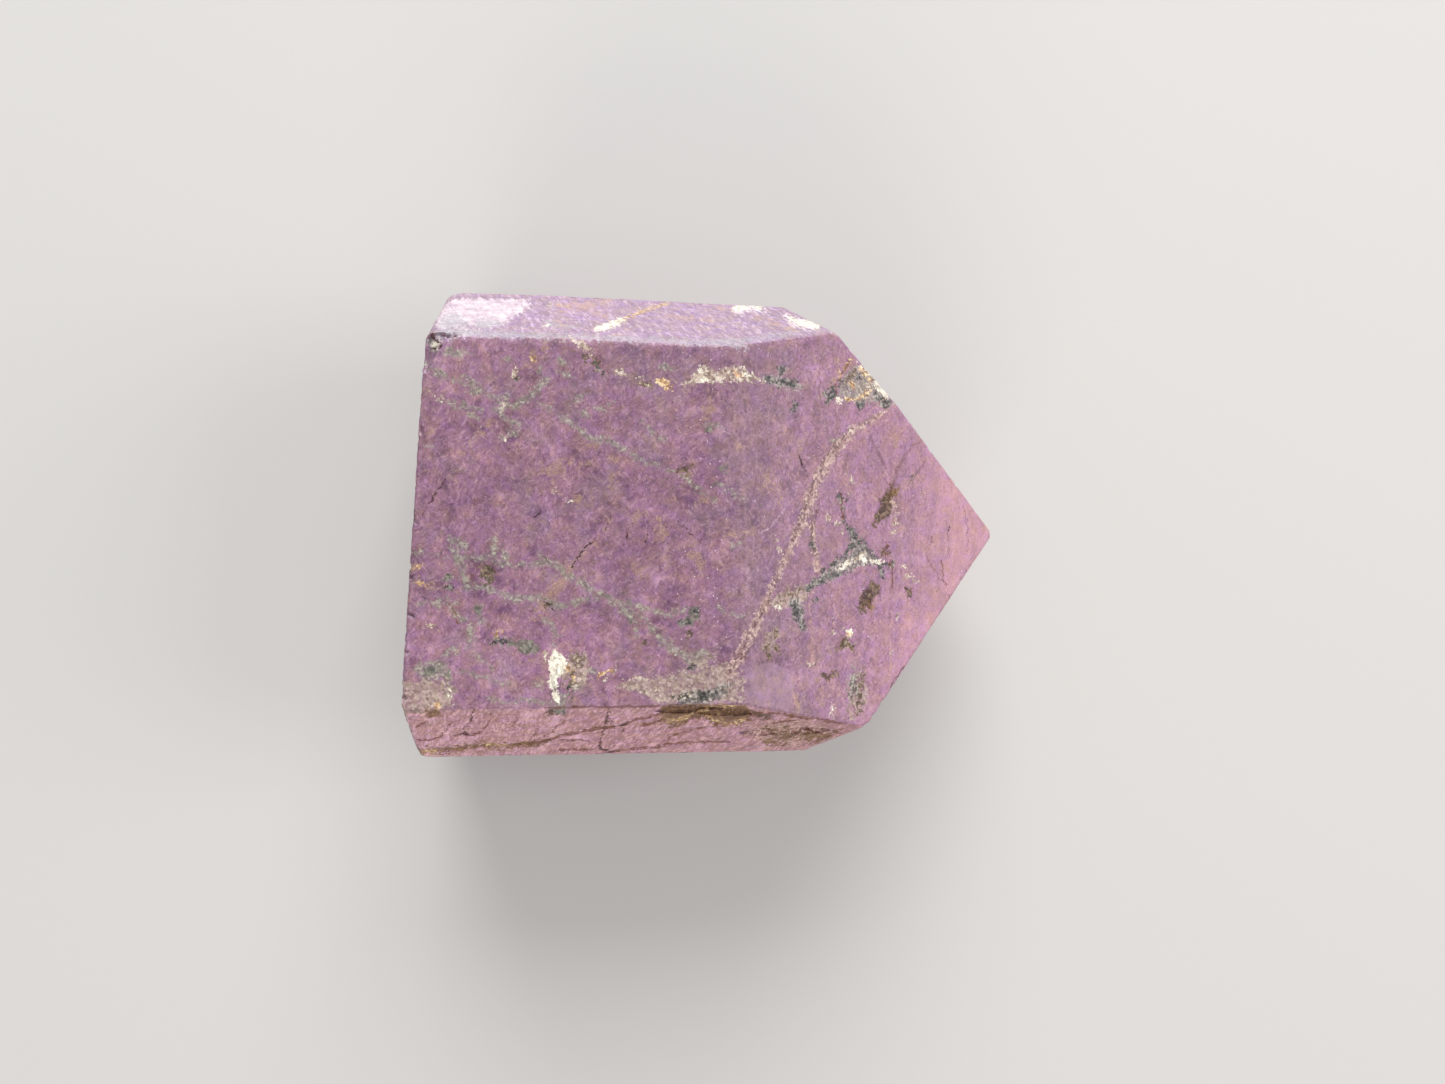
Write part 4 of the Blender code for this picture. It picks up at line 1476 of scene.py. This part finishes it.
def fibreGroup():
    # short fibres of cleaved purpurite, felted: long one way, thin across it
    group, ins, out = newGroup(
        "feltedFibres",
        (("Place", "NodeSocketVector", None), ("Turn", "NodeSocketFloat", 0.0),
         ("Length", "NodeSocketFloat", 0.75), ("Thickness", "NodeSocketFloat", 0.15),
         ("Sway", "NodeSocketFloat", 1.0)),
        "Fibre")
    sway = noise(group, ins["Place"], 0.45, 2.0, 0.5, 0.0, output=1)
    sway = scaled(group, vectors(group, "SUBTRACT", sway, (0.5, 0.5, 0.5)), ins["Sway"])
    bent = vectors(group, "ADD", ins["Place"], sway)
    turned = addNode(group, "ShaderNodeVectorRotate", {"Vector": bent, "Angle": ins["Turn"]},
                     rotation_type="Z_AXIS").outputs[0]
    across = sums(group, "DIVIDE", 0.5, ins["Thickness"])
    along = sums(group, "DIVIDE", 0.5, ins["Length"])
    stretch = threeValues(group, across, along, across)
    fibre = noise(group, vectors(group, "MULTIPLY", turned, stretch), 1.0, 3.0, 0.66, 0.1)
    group.links.new(fibre, out)
    return group


def plateGroup():
    # cleavage plates lie nearly level: broad bands on the top, lines on the sides
    group, ins, out = newGroup(
        "cleavagePlates",
        (("Place", "NodeSocketVector", None), ("Dip", "NodeSocketFloat", 0.3),
         ("Thickness", "NodeSocketFloat", 0.4), ("Breadth", "NodeSocketFloat", 3.0)),
        "Plate")
    sway = noise(group, ins["Place"], 0.16, 3.0, 0.55, 0.0, output=1)
    sway = scaled(group, vectors(group, "SUBTRACT", sway, (0.5, 0.5, 0.5)), 4.0)
    bent = vectors(group, "ADD", ins["Place"], sway)
    turned = addNode(group, "ShaderNodeVectorRotate", {"Vector": bent, "Angle": ins["Dip"]},
                     rotation_type="Y_AXIS").outputs[0]
    broad = sums(group, "DIVIDE", 0.5, ins["Breadth"])
    thin = sums(group, "DIVIDE", 0.5, ins["Thickness"])
    stretch = threeValues(group, broad, broad, thin)
    plate = noise(group, vectors(group, "MULTIPLY", turned, stretch), 1.0, 3.0, 0.62, 0.15)
    group.links.new(plate, out)
    return group


def swung(tree, value, width):
    # a noise around 0.5 as a swing of so many pixels
    return sums(tree, "MULTIPLY", sums(tree, "SUBTRACT", value, 0.5), width)


def rimGroup():
    # how far inside a mark a place is, with its rim roughened: 0 outside to 1 inside
    group, ins, out = newGroup(
        "roughRim",
        (("Inside", "NodeSocketFloat", 0.0), ("Wavy", "NodeSocketFloat", 0.5),
         ("Ragged", "NodeSocketFloat", 0.5), ("Waves", "NodeSocketFloat", 10.0),
         ("Raggedness", "NodeSocketFloat", 8.0), ("Softness", "NodeSocketFloat", 0.6),
         ("Grow", "NodeSocketFloat", 0.0)),
        "Mask")
    depth = ins["Inside"]
    for part in (swung(group, ins["Wavy"], ins["Waves"]),
                 swung(group, ins["Ragged"], ins["Raggedness"]), ins["Grow"]):
        depth = sums(group, "ADD", depth, part)
    low = sums(group, "MULTIPLY", ins["Softness"], -1.0)
    group.links.new(ease(group, depth, low, ins["Softness"]), out)
    return group


def lineGroup():
    # a hairline from its signed distance, only where its own stretch is near
    group, ins, out = newGroup(
        "hairline",
        (("Side", "NodeSocketFloat", 0.0), ("Inside", "NodeSocketFloat", 0.0),
         ("Noise", "NodeSocketFloat", 0.5), ("Wander", "NodeSocketFloat", 1.6),
         ("Width", "NodeSocketFloat", 0.0), ("Softness", "NodeSocketFloat", 0.7)),
        "Mask")
    swing = swung(group, ins["Noise"], ins["Wander"])
    gap = sums(group, "ABSOLUTE", sums(group, "ADD", ins["Side"], swing))
    away = sums(group, "ABSOLUTE", ins["Side"])
    half = sums(group, "ADD", sums(group, "ADD", ins["Inside"], away), ins["Width"])
    depth = sums(group, "SUBTRACT", half, gap)
    low = sums(group, "MULTIPLY", ins["Softness"], -1.0)
    gate = ease(group, ins["Inside"], -5.0, -3.0)
    group.links.new(times(group, ease(group, depth, low, ins["Softness"]), gate), out)
    return group


# the noises of the whole finish

# Each noise has its scale per millimetre, detail, roughness and distortion, and is
# laid from where its name says: in place, from another corner of the pattern, or
# drawn out along the slanting layers that show on the side faces.
noisePlan = {
    "place": {
        "cloud": (0.13, 3.0, 0.55, 0.6),
        "mottle": (0.55, 3.0, 0.6, 0.4),
        "wavy": (1.15, 3.0, 0.6, 0.2),
        "ragged": (3.0, 3.0, 0.7, 0.3),
        "grit": (6.5, 2.0, 0.6, 0.0),
        "bundle": (0.42, 2.0, 0.5, 0.8),
        "smoke": (0.21, 3.0, 0.6, 0.0),
    },
    "elsewhere": {
        "dust": (1.1, 4.0, 0.7, 0.3),
        "drift": (0.55, 5.0, 0.72, 0.4),
        "speckle": (3.2, 3.0, 0.7, 0.3),
    },
    "slanted": {
        "crinkle": (2.0, 3.0, 0.66, 0.3),
        "lumps": (1.0, 4.0, 0.68, 0.4),
        "folds": (0.3, 4.0, 0.6, 0.5),
        "streaks": (1.4, 5.0, 0.74, 0.4),
    },
}
elsewhereShift = (37.0, 11.0, 5.0)
slantPlan = ((0.45, 0.0, 0.1), (-1.2, 0.0, 0.47), (0.0, 0.4, 0.0))

fibrePlan = {
    "upright": {"Turn": 0.32, "Length": 0.42, "Thickness": 0.17, "Sway": 0.5},
    "leaning": {"Turn": 1.05, "Length": 0.42, "Thickness": 0.16, "Sway": 0.5},
    "crossing": {"Turn": -0.7, "Length": 0.44, "Thickness": 0.17, "Sway": 0.5},
}
crossShare = 0.4                # of the crossing fibres in the weave
crumbScale = 3.1                # grains of the fillings, to the millimetre

# noises added up, each with its share
mixPlan = {
    "patchy": (("crumb", 0.3), ("speckle", 0.7)),
    "crumbs": (("crumb", 0.55), ("speckle", 0.45)),
    "blotch": (("cloud", 0.45), ("mottle", 0.55)),
    # the streaks of the painted reflection
    "paintedReflectionMix": (("mottle", 0.5), ("streaks", 0.5)),
    "crumbly": (("lumps", 0.5), ("crumbs", 0.5)),
    "earthy": (("lumps", 0.6), ("speckle", 0.4)),
}


def makeNoises(tree):
    metres = addNode(tree, "ShaderNodeTexCoord").outputs["Object"]
    place = scaled(tree, metres, 1 / mm)
    starts = {
        "place": place,
        # Besides minerals, these hold a painted reflection and painted highlights, as said where they
        # stand.
        "elsewhere": vectors(tree, "ADD", place, elsewhereShift),
        "slanted": threeValues(tree, *[vectors(tree, "DOT_PRODUCT", place, way) for way in slantPlan]),
    }
    made = {"place": place}
    for start, plan in noisePlan.items():
        for name, values in plan.items():
            made[name] = noise(tree, starts[start], *values)
    fibres = fibreGroup()
    for name, values in fibrePlan.items():
        made[name] = useGroup(tree, fibres, {"Place": place, **values})
    bundle = ease(tree, made["bundle"], 0.42, 0.58)
    made["felt"] = mixValue(tree, bundle, made["upright"], made["leaning"])
    made["weave"] = mixValue(tree, crossShare, made["felt"], made["crossing"])
    made["plate"] = useGroup(tree, plateGroup(), {"Place": place})
    made["crumb"] = cells(tree, place, crumbScale, 0)[1]
    for name, ((first, share), (second, rest)) in mixPlan.items():
        made[name] = sums(tree, "ADD", times(tree, made[first], share),
                          times(tree, made[second], rest))
    return made


def rimMask(tree, noises, rim, name, waves, raggedness, softness, grow, wavy="wavy"):
    return useGroup(tree, rim, {"Inside": mark(tree, name), "Wavy": noises[wavy],
                                "Ragged": noises["ragged"], "Waves": waves,
                                "Raggedness": raggedness, "Softness": softness, "Grow": grow})


# the purple ground

purplePlan = {
    "deep": paint(106, 70, 94),
    "middle": paint(138, 100, 120),
    "light": paint(164, 126, 144),
    "greyed": paint(130, 108, 118),
    "fibreDark": paint(90, 56, 80),
    "fibreLight": paint(184, 146, 164),
    "fibreTan": paint(170, 138, 124),
    # the lavender tones: the upper side's colour with a painted sheen in it
    "lavender": paint(170, 144, 168),
    "lavenderDark": paint(138, 112, 138),
    "lavenderLight": paint(206, 184, 200),
    "rose": paint(206, 151, 159),
    # roseLight and roseDeep also paint the crinkle's highlights and shadows
    "roseLight": paint(240, 192, 208),
    "roseDeep": paint(146, 97, 88),
    "roseDark": paint(104, 66, 48),
    # slope and tip: partly painted light, paler towards the point
    "slope": paint(164, 118, 142),
    "tip": paint(196, 148, 160),
    "silk": paint(164, 130, 148),
    "pin": paint(72, 46, 58),
    # the colour of the painted glints
    "sparkle": paint(225, 212, 222),
}

# how much of the ground a face's tone takes; the lavender, slope and tip tones are partly painted light,
# the rose tone is the stone's own
facePlan = {"lavender": 0.85, "rose": 0.7, "slope": 0.5, "tip": 0.6}

# a colour that a noise brings in on a face: from this value on, full at that one,
# and its share
layerPlan = {
    # the fine layers paint the lower side's crinkle highlights and shadows, over the same noise that
    # bumps it
    "roseFine": (("rose", "crinkle", 0.48, 0.38, 0.55, "roseDeep"),
                 ("rose", "crinkle", 0.51, 0.61, 0.6, "roseLight")),
    "roseBroad": (("rose", "folds", 0.47, 0.34, 0.5, "roseDeep"),
                  ("rose", "folds", 0.52, 0.66, 0.5, "roseLight")),
    # the lavender streaks carry the upper side's painted sheen
    "lavender": (("lavender", "streaks", 0.51, 0.64, 0.85, "lavenderLight"),
                 ("lavender", "streaks", 0.48, 0.35, 0.75, "lavenderDark")),
}

# how light each colour channel is where the drift leans to violet, and where to tan
driftPlan = ((0.97, 1.04), (0.94, 1.06), (1.16, 0.84))


def groundColour(tree, noises, purple, silk):
    # mottled, with greyer clouds and dust and a tone on each face, partly painted light on the upper
    # side and towards the tip
    colour = rampColour(tree, noises["blotch"], ((0.36, purple["deep"]), (0.47, purple["middle"]),
                                                 (0.54, purple["middle"]), (0.66, purple["light"])))
    colour = coat(tree, colour, purple["greyed"], ease(tree, noises["smoke"], 0.50, 0.70), 0.5)
    colour = coat(tree, colour, purple["greyed"], ease(tree, noises["dust"], 0.50, 0.68), 0.35)
    for name, share in facePlan.items():
        colour = coat(tree, colour, purple[name], mark(tree, name), share)
    return coat(tree, colour, purple["silk"], silk, 0.7)


def feltColour(tree, noises, purple, silk, colour):
    # tan, dark and light fibres and pin-head dark grains, fewer on silk and on the tip
    felt, crossing = noises["felt"], noises["crossing"]
    tanFibre = times(tree, ease(tree, crossing, 0.56, 0.70), ease(tree, noises["wavy"], 0.46, 0.62))
    tanShare = linearRange(tree, mark(tree, "slope"), 0.0, 1.0, 0.5, 0.8)
    colour = coat(tree, colour, purple["fibreTan"], tanFibre, tanShare)
    calm = linearRange(tree, sums(tree, "MAXIMUM", silk, mark(tree, "tip")), 0.0, 1.0, 1.0, 0.4)
    dark = sums(tree, "MAXIMUM", ease(tree, felt, 0.47, 0.35), ease(tree, crossing, 0.44, 0.32))
    light = sums(tree, "MAXIMUM", ease(tree, felt, 0.53, 0.66), ease(tree, crossing, 0.57, 0.70))
    colour = coat(tree, colour, purple["fibreDark"], dark, 0.48, calm)
    colour = coat(tree, colour, purple["fibreLight"], light, 0.46, calm)
    pinGap, pinPick = cells(tree, noises["place"], 1.7, 0)
    pins = times(tree, ease(tree, pinGap, 0.26, 0.14), ease(tree, pinPick, 0.6, 0.85))
    return coat(tree, colour, purple["pin"], pins, 0.5, calm)


def layerColour(tree, noises, purple, rows, colour):
    for face, name, low, high, share, tone in rows:
        step = ease(tree, noises[name], low, high)
        colour = coat(tree, colour, purple[tone], step, mark(tree, face), share)
    return colour


def sideColour(tree, noises, purple, colour):
    # the lower side face is crinkled, with the crinkle's highlights and shadows painted in light and
    # deep rose, the edges of the plates as thin dark lines, and the upper one is finely streaked
    edges = sums(tree, "PINGPONG", sums(tree, "MULTIPLY", noises["plate"], 9.0), 0.5)
    edges = times(tree, ease(tree, edges, 0.11, 0.02), ease(tree, noises["wavy"], 0.44, 0.58))
    colour = layerColour(tree, noises, purple, layerPlan["roseFine"], colour)
    colour = coat(tree, colour, purple["roseDark"], edges, mark(tree, "rose"), 0.85)
    colour = layerColour(tree, noises, purple, layerPlan["roseBroad"], colour)
    return layerColour(tree, noises, purple, layerPlan["lavender"], colour)


def shadedColour(tree, noises, colour):
    # lighter and darker bands, patches that lean to violet or to tan, and the painted light and shade of
    # the shade tone
    band = times(tree, linearRange(tree, noises["plate"], 0.3, 0.7, 0.84, 1.16),
                 linearRange(tree, noises["grit"], 0.3, 0.7, 0.83, 1.17),
                 linearRange(tree, noises["mottle"], 0.35, 0.65, 0.94, 1.06),
                 linearRange(tree, mark(tree, "shade"), -4.0, 4.0, 0.5, 1.5))
    tints = [times(tree, band, linearRange(tree, noises["drift"], 0.36, 0.64, violet, tanned))
             for violet, tanned in driftPlan]
    return blend(tree, 1.0, colour, threeValues(tree, *tints), "MULTIPLY")


# the fillings, and the painted reflection and highlights that are laid out like them

# One over another in this order. colours go from dark to light, and mix is the noise
# that mixes them with its range; rim is the waves, raggedness, softness and growth of
# the outline in pixels; cover is how much of the ground they hide, as a share or as a
# noise with its range and the shares there. mark is the field, where the name differs.
mineralAndReflectionPlan = {
    # painted reflection of the window-side lamp on the upper side, pale and streaked
    "paintedReflection": {
        "colours": (paint(180, 160, 178), paint(206, 188, 200), paint(226, 216, 223)),
        "mix": ("paintedReflectionMix", 0.38, 0.58),
        "rim": (26.0, 18.0, 1.0, 0.4),
        "wavy": "streaks",
        "cover": 0.92,
    },
    # grey mineral, and painted highlights along the top ridge and on the long tan spot's left edge
    "ashAndHighlight": {
        "colours": (paint(140, 136, 144), paint(166, 160, 168), paint(192, 184, 194)),
        "mix": ("patchy", 0.34, 0.66),
        "rim": (18.0, 16.0, 1.4, 0.0),
        "cover": ("speckle", 0.35, 0.6, 0.4, 0.9),
    },
    "ochre": {
        "colours": (paint(138, 106, 86), paint(164, 134, 106), paint(194, 164, 124)),
        "mix": ("grit", 0.34, 0.66),
        "rim": (26.0, 20.0, 2.4, -1.2),
        "cover": ("speckle", 0.36, 0.62, 0.18, 0.68),
        # paler ochre on the upper side, with the same painted sheen
        "onLavender": {"colour": paint(196, 160, 144), "share": 0.8, "cover": 0.2},
    },
    "veil": {
        "mark": "green",
        "colour": paint(136, 132, 120),
        "rim": (10.0, 8.0, 2.4, 1.0),
        "cover": 0.2,
    },
    "green": {
        "colours": (paint(88, 84, 76), paint(136, 132, 120), paint(184, 182, 164)),
        "mix": ("crumbs", 0.2, 0.8),
        "rim": (16.0, 17.0, 1.8, 0.1),
        "cover": ("speckle", 0.34, 0.6, 0.22, 0.84),
    },
    "moss": {
        "colours": (paint(70, 69, 62), paint(104, 101, 92), paint(140, 136, 123)),
        "mix": ("crumbs", 0.2, 0.8),
        "rim": (10.0, 12.0, 0.8, 0.2),
        "cover": 0.92,
    },
    "tan": {
        "colours": (paint(114, 96, 86), paint(164, 144, 132), paint(198, 180, 166)),
        "mix": ("crumbs", 0.18, 0.86),
        "rim": (20.0, 16.0, 1.4, 0.0),
        "cover": ("wavy", 0.35, 0.6, 0.5, 0.95),
    },
    "rust": {
        "colours": (paint(56, 42, 32), paint(94, 76, 60), paint(150, 126, 106)),
        "mix": ("patchy", 0.3, 0.7),
        "rim": (20.0, 16.0, 0.9, 0.2),
        "cover": ("speckle", 0.3, 0.55, 0.66, 0.97),
    },
    "crumble": {
        "colours": (paint(102, 72, 54), paint(175, 137, 125), paint(228, 193, 190)),
        "mix": ("crumbly", 0.34, 0.64),
        "rim": (18.0, 26.0, 1.2, -0.3),
        "cover": 0.85,
    },
    "limonite": {
        "colours": (paint(84, 60, 40), paint(120, 90, 62), paint(160, 128, 90)),
        "mix": ("earthy", 0.38, 0.62),
        "rim": (16.0, 16.0, 1.6, 0.4),
        "cover": ("speckle", 0.3, 0.5, 0.7, 0.95),
    },
    "pale": {
        "colours": (paint(92, 62, 62), paint(170, 138, 132), paint(210, 186, 172)),
        "mix": ("crumbs", 0.2, 0.8),
        "rim": (12.0, 14.0, 1.5, 1.0),
        "cover": ("speckle", 0.32, 0.55, 0.55, 0.95),
    },
    "speck": {
        "colours": (paint(72, 70, 68), paint(118, 112, 107), paint(178, 170, 162)),
        "mix": ("crumbs", 0.24, 0.74),
        "rim": (12.0, 18.0, 0.7, 0.0),
        "cover": 0.86,
    },
    "dark": {
        "colours": (paint(34, 33, 33), paint(84, 80, 78), paint(160, 152, 146)),
        "mix": ("crumbs", 0.28, 0.84),
        "rim": (12.0, 16.0, 0.7, 0.3),
        "cover": 0.94,
    },
    "cream": {
        "colours": (paint(112, 90, 80), paint(180, 160, 142), paint(230, 220, 202)),
        "mix": ("crumbs", 0.2, 0.78),
        "rim": (12.0, 18.0, 0.8, -0.5),
        "cover": ("grit", 0.3, 0.5, 0.5, 0.95),
    },
    "milk": {
        "colours": (paint(140, 128, 110), paint(212, 203, 184), paint(246, 241, 224)),
        "mix": ("crumbs", 0.1, 0.56),
        "rim": (10.0, 10.0, 0.7, 0.0),
        "cover": 0.95,
    },
    "gold": {
        "colours": (paint(128, 92, 62), paint(194, 152, 108), paint(238, 212, 166)),
        "mix": ("crumbs", 0.24, 0.7),
        "rim": (8.0, 14.0, 0.8, 0.0),
        "cover": 0.9,
    },
}

# The hairlines over them: wander is how many pixels they wave, width what they gain
# in half-width, and cover is as above, rising linearly or with a soft step.
linePlan = {
    "thread": {
        "colour": paint(104, 62, 32),
        "wander": 7.0,
        "width": 0.2,
        "cover": (linearRange, "ragged", 0.34, 0.56, 0.3, 0.95),
    },
    "faint": {
        "colour": paint(112, 76, 86),
        "wander": 5.0,
        "width": 0.2,
        "cover": (linearRange, "ragged", 0.34, 0.6, 0.25, 0.8),
    },
    "salmon": {
        "colour": paint(198, 156, 140),
        "wander": 7.0,
        "width": 0.2,
        "cover": (linearRange, "speckle", 0.38, 0.6, 0.05, 0.6),
    },
    "maroon": {
        "colour": paint(84, 46, 52),
        "wander": 5.0,
        "width": 0.4,
        "cover": (ease, "speckle", 0.46, 0.56, 0.0, 0.9),
    },
    "scratch": {
        "colour": paint(206, 186, 202),
        "wander": 4.0,
        "width": -0.1,
        "cover": (linearRange, "speckle", 0.4, 0.62, 0.0, 0.7),
    },
    "crack": {
        "colour": paint(56, 30, 22),
        "wander": 6.0,
        "width": 0.0,
        "cover": (linearRange, "ragged", 0.32, 0.55, 0.3, 1.0),
    },
}
lineSoftness = 0.45


def fillColour(tree, noises, plan):
    if "colour" in plan:
        return plan["colour"]
    name, low, high = plan["mix"]
    dark, middle, light = plan["colours"]
    return rampColour(tree, noises[name], ((low, dark), ((low + high) / 2, middle), (high, light)))


def coverShare(tree, noises, cover):
    if isinstance(cover, float):
        return cover
    name, low, high, least, most = cover
    return linearRange(tree, noises[name], low, high, least, most)


def mineralAndReflectionColour(tree, noises, rim, mineralsAndReflection, colour):
    masks = {}
    for name, plan in mineralsAndReflection.items():
        mask = rimMask(tree, noises, rim, plan.get("mark", name), *plan["rim"],
                       plan.get("wavy", "wavy"))
        fill = fillColour(tree, noises, plan)
        share = coverShare(tree, noises, plan["cover"])
        if "onLavender" in plan:
            change = plan["onLavender"]
            lavender = mark(tree, "lavender")
            fill = coat(tree, fill, change["colour"], lavender, change["share"])
            share = sums(tree, "ADD", share, times(tree, lavender, change["cover"]))
        colour = coat(tree, colour, fill, mask, share)
        masks[name] = mask
    return colour, masks


def lineColour(tree, noises, hair, lines, colour):
    masks = {}
    for name, plan in lines.items():
        masks[name] = useGroup(tree, hair, {
            "Side": mark(tree, name + "Side"), "Inside": mark(tree, name),
            "Noise": noises["wavy"], "Wander": plan["wander"], "Width": plan["width"],
            "Softness": lineSoftness})
        rise, noiseName, low, high, least, most = plan["cover"]
        share = rise(tree, noises[noiseName], low, high, least, most)
        colour = coat(tree, colour, plan["colour"], masks[name], share)
    return colour, masks


def glintAndWornColour(tree, noises, purple, colour):
    # painted glints: tiny white specks for light caught by cleaved grains, and handled ridges that are a
    # little lighter
    glintGap, glintPick = cells(tree, noises["place"], 1.35, 2)
    glint = times(tree, ease(tree, glintGap, 0.14, 0.07), ease(tree, glintPick, 0.8, 0.98))
    colour = coat(tree, colour, purple["sparkle"], glint, 0.85)
    worn = times(tree, ease(tree, mark(tree, "ridge"), 0.5, 1.0), ease(tree, noises["ragged"], 0.4, 0.6))
    return coat(tree, colour, purple["fibreLight"], worn, 0.25)


# polish and grain

gloss = {
    "ior": 1.6,
    "specular": 0.4,
    "roughness": (0.52, 0.38),  # between the fibres and on them
    "bump": 0.6,
    "bumpHeight": 0.00014,      # m
}

# the roughness of the fillings and lines, one over another in this order
roughnessPlan = {
    "tan": 0.68,
    "rust": 0.82,
    "limonite": 0.85,
    "crumble": 0.7,
    "green": 0.5,
    "moss": 0.5,
    "dark": 0.42,
    "speck": 0.45,
    "milk": 0.4,
    "crack": 0.9,
    "thread": 0.8,
}


def purpuriteFinish(purple, mineralsAndReflection, lines, plan):
    finish = bpy.data.materials.new("polished_purpurite")
    finish.use_nodes = True
    tree = finish.node_tree
    shader = tree.nodes["Principled BSDF"]
    noises = makeNoises(tree)
    rim = rimGroup()
    silk = rimMask(tree, noises, rim, "silk", 16.0, 8.0, 2.5, 0.0)
    colour = groundColour(tree, noises, purple, silk)
    colour = feltColour(tree, noises, purple, silk, colour)
    colour = sideColour(tree, noises, purple, colour)
    colour = shadedColour(tree, noises, colour)
    colour, masks = mineralAndReflectionColour(tree, noises, rim, mineralsAndReflection, colour)
    colour, lineMasks = lineColour(tree, noises, lineGroup(), lines, colour)
    masks.update(lineMasks)
    colour = glintAndWornColour(tree, noises, purple, colour)

    rough = linearRange(tree, noises["weave"], 0.3, 0.7, *plan["roughness"])
    for name, value in roughnessPlan.items():
        rough = mixValue(tree, masks[name], rough, value)
    relief = sums(tree, "ADD", times(tree, noises["weave"], 0.8), times(tree, noises["grit"], 0.4))
    relief = sums(tree, "ADD", relief, times(tree, noises["crinkle"], mark(tree, "rose"), 3.0))
    relief = sums(tree, "SUBTRACT", relief, times(tree, masks["crack"], 0.4))
    bump = addNode(tree, "ShaderNodeBump", {"Strength": plan["bump"],
                                            "Distance": plan["bumpHeight"], "Height": relief})
    put(tree, shader.inputs["Base Color"], colour)
    put(tree, shader.inputs["Roughness"], rough)
    put(tree, shader.inputs["Normal"], bump.outputs[0])
    shader.inputs["IOR"].default_value = plan["ior"]
    shader.inputs["Specular IOR Level"].default_value = plan["specular"]
    return finish


finish = purpuriteFinish(purplePlan, mineralAndReflectionPlan, linePlan, gloss)
carvedMesh = carveRelief(stoneMesh, reliefPlan, finish, reliefSeed)
stone = bpy.data.objects.new("purpurite_stone", carvedMesh)
scene.collection.objects.link(stone)
if not carvedMesh.materials:
    carvedMesh.materials.append(finish)
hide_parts("purpurite_point")
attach(stone, "root")
print("stone carved and dressed:", len(carvedMesh.polygons), "triangles")
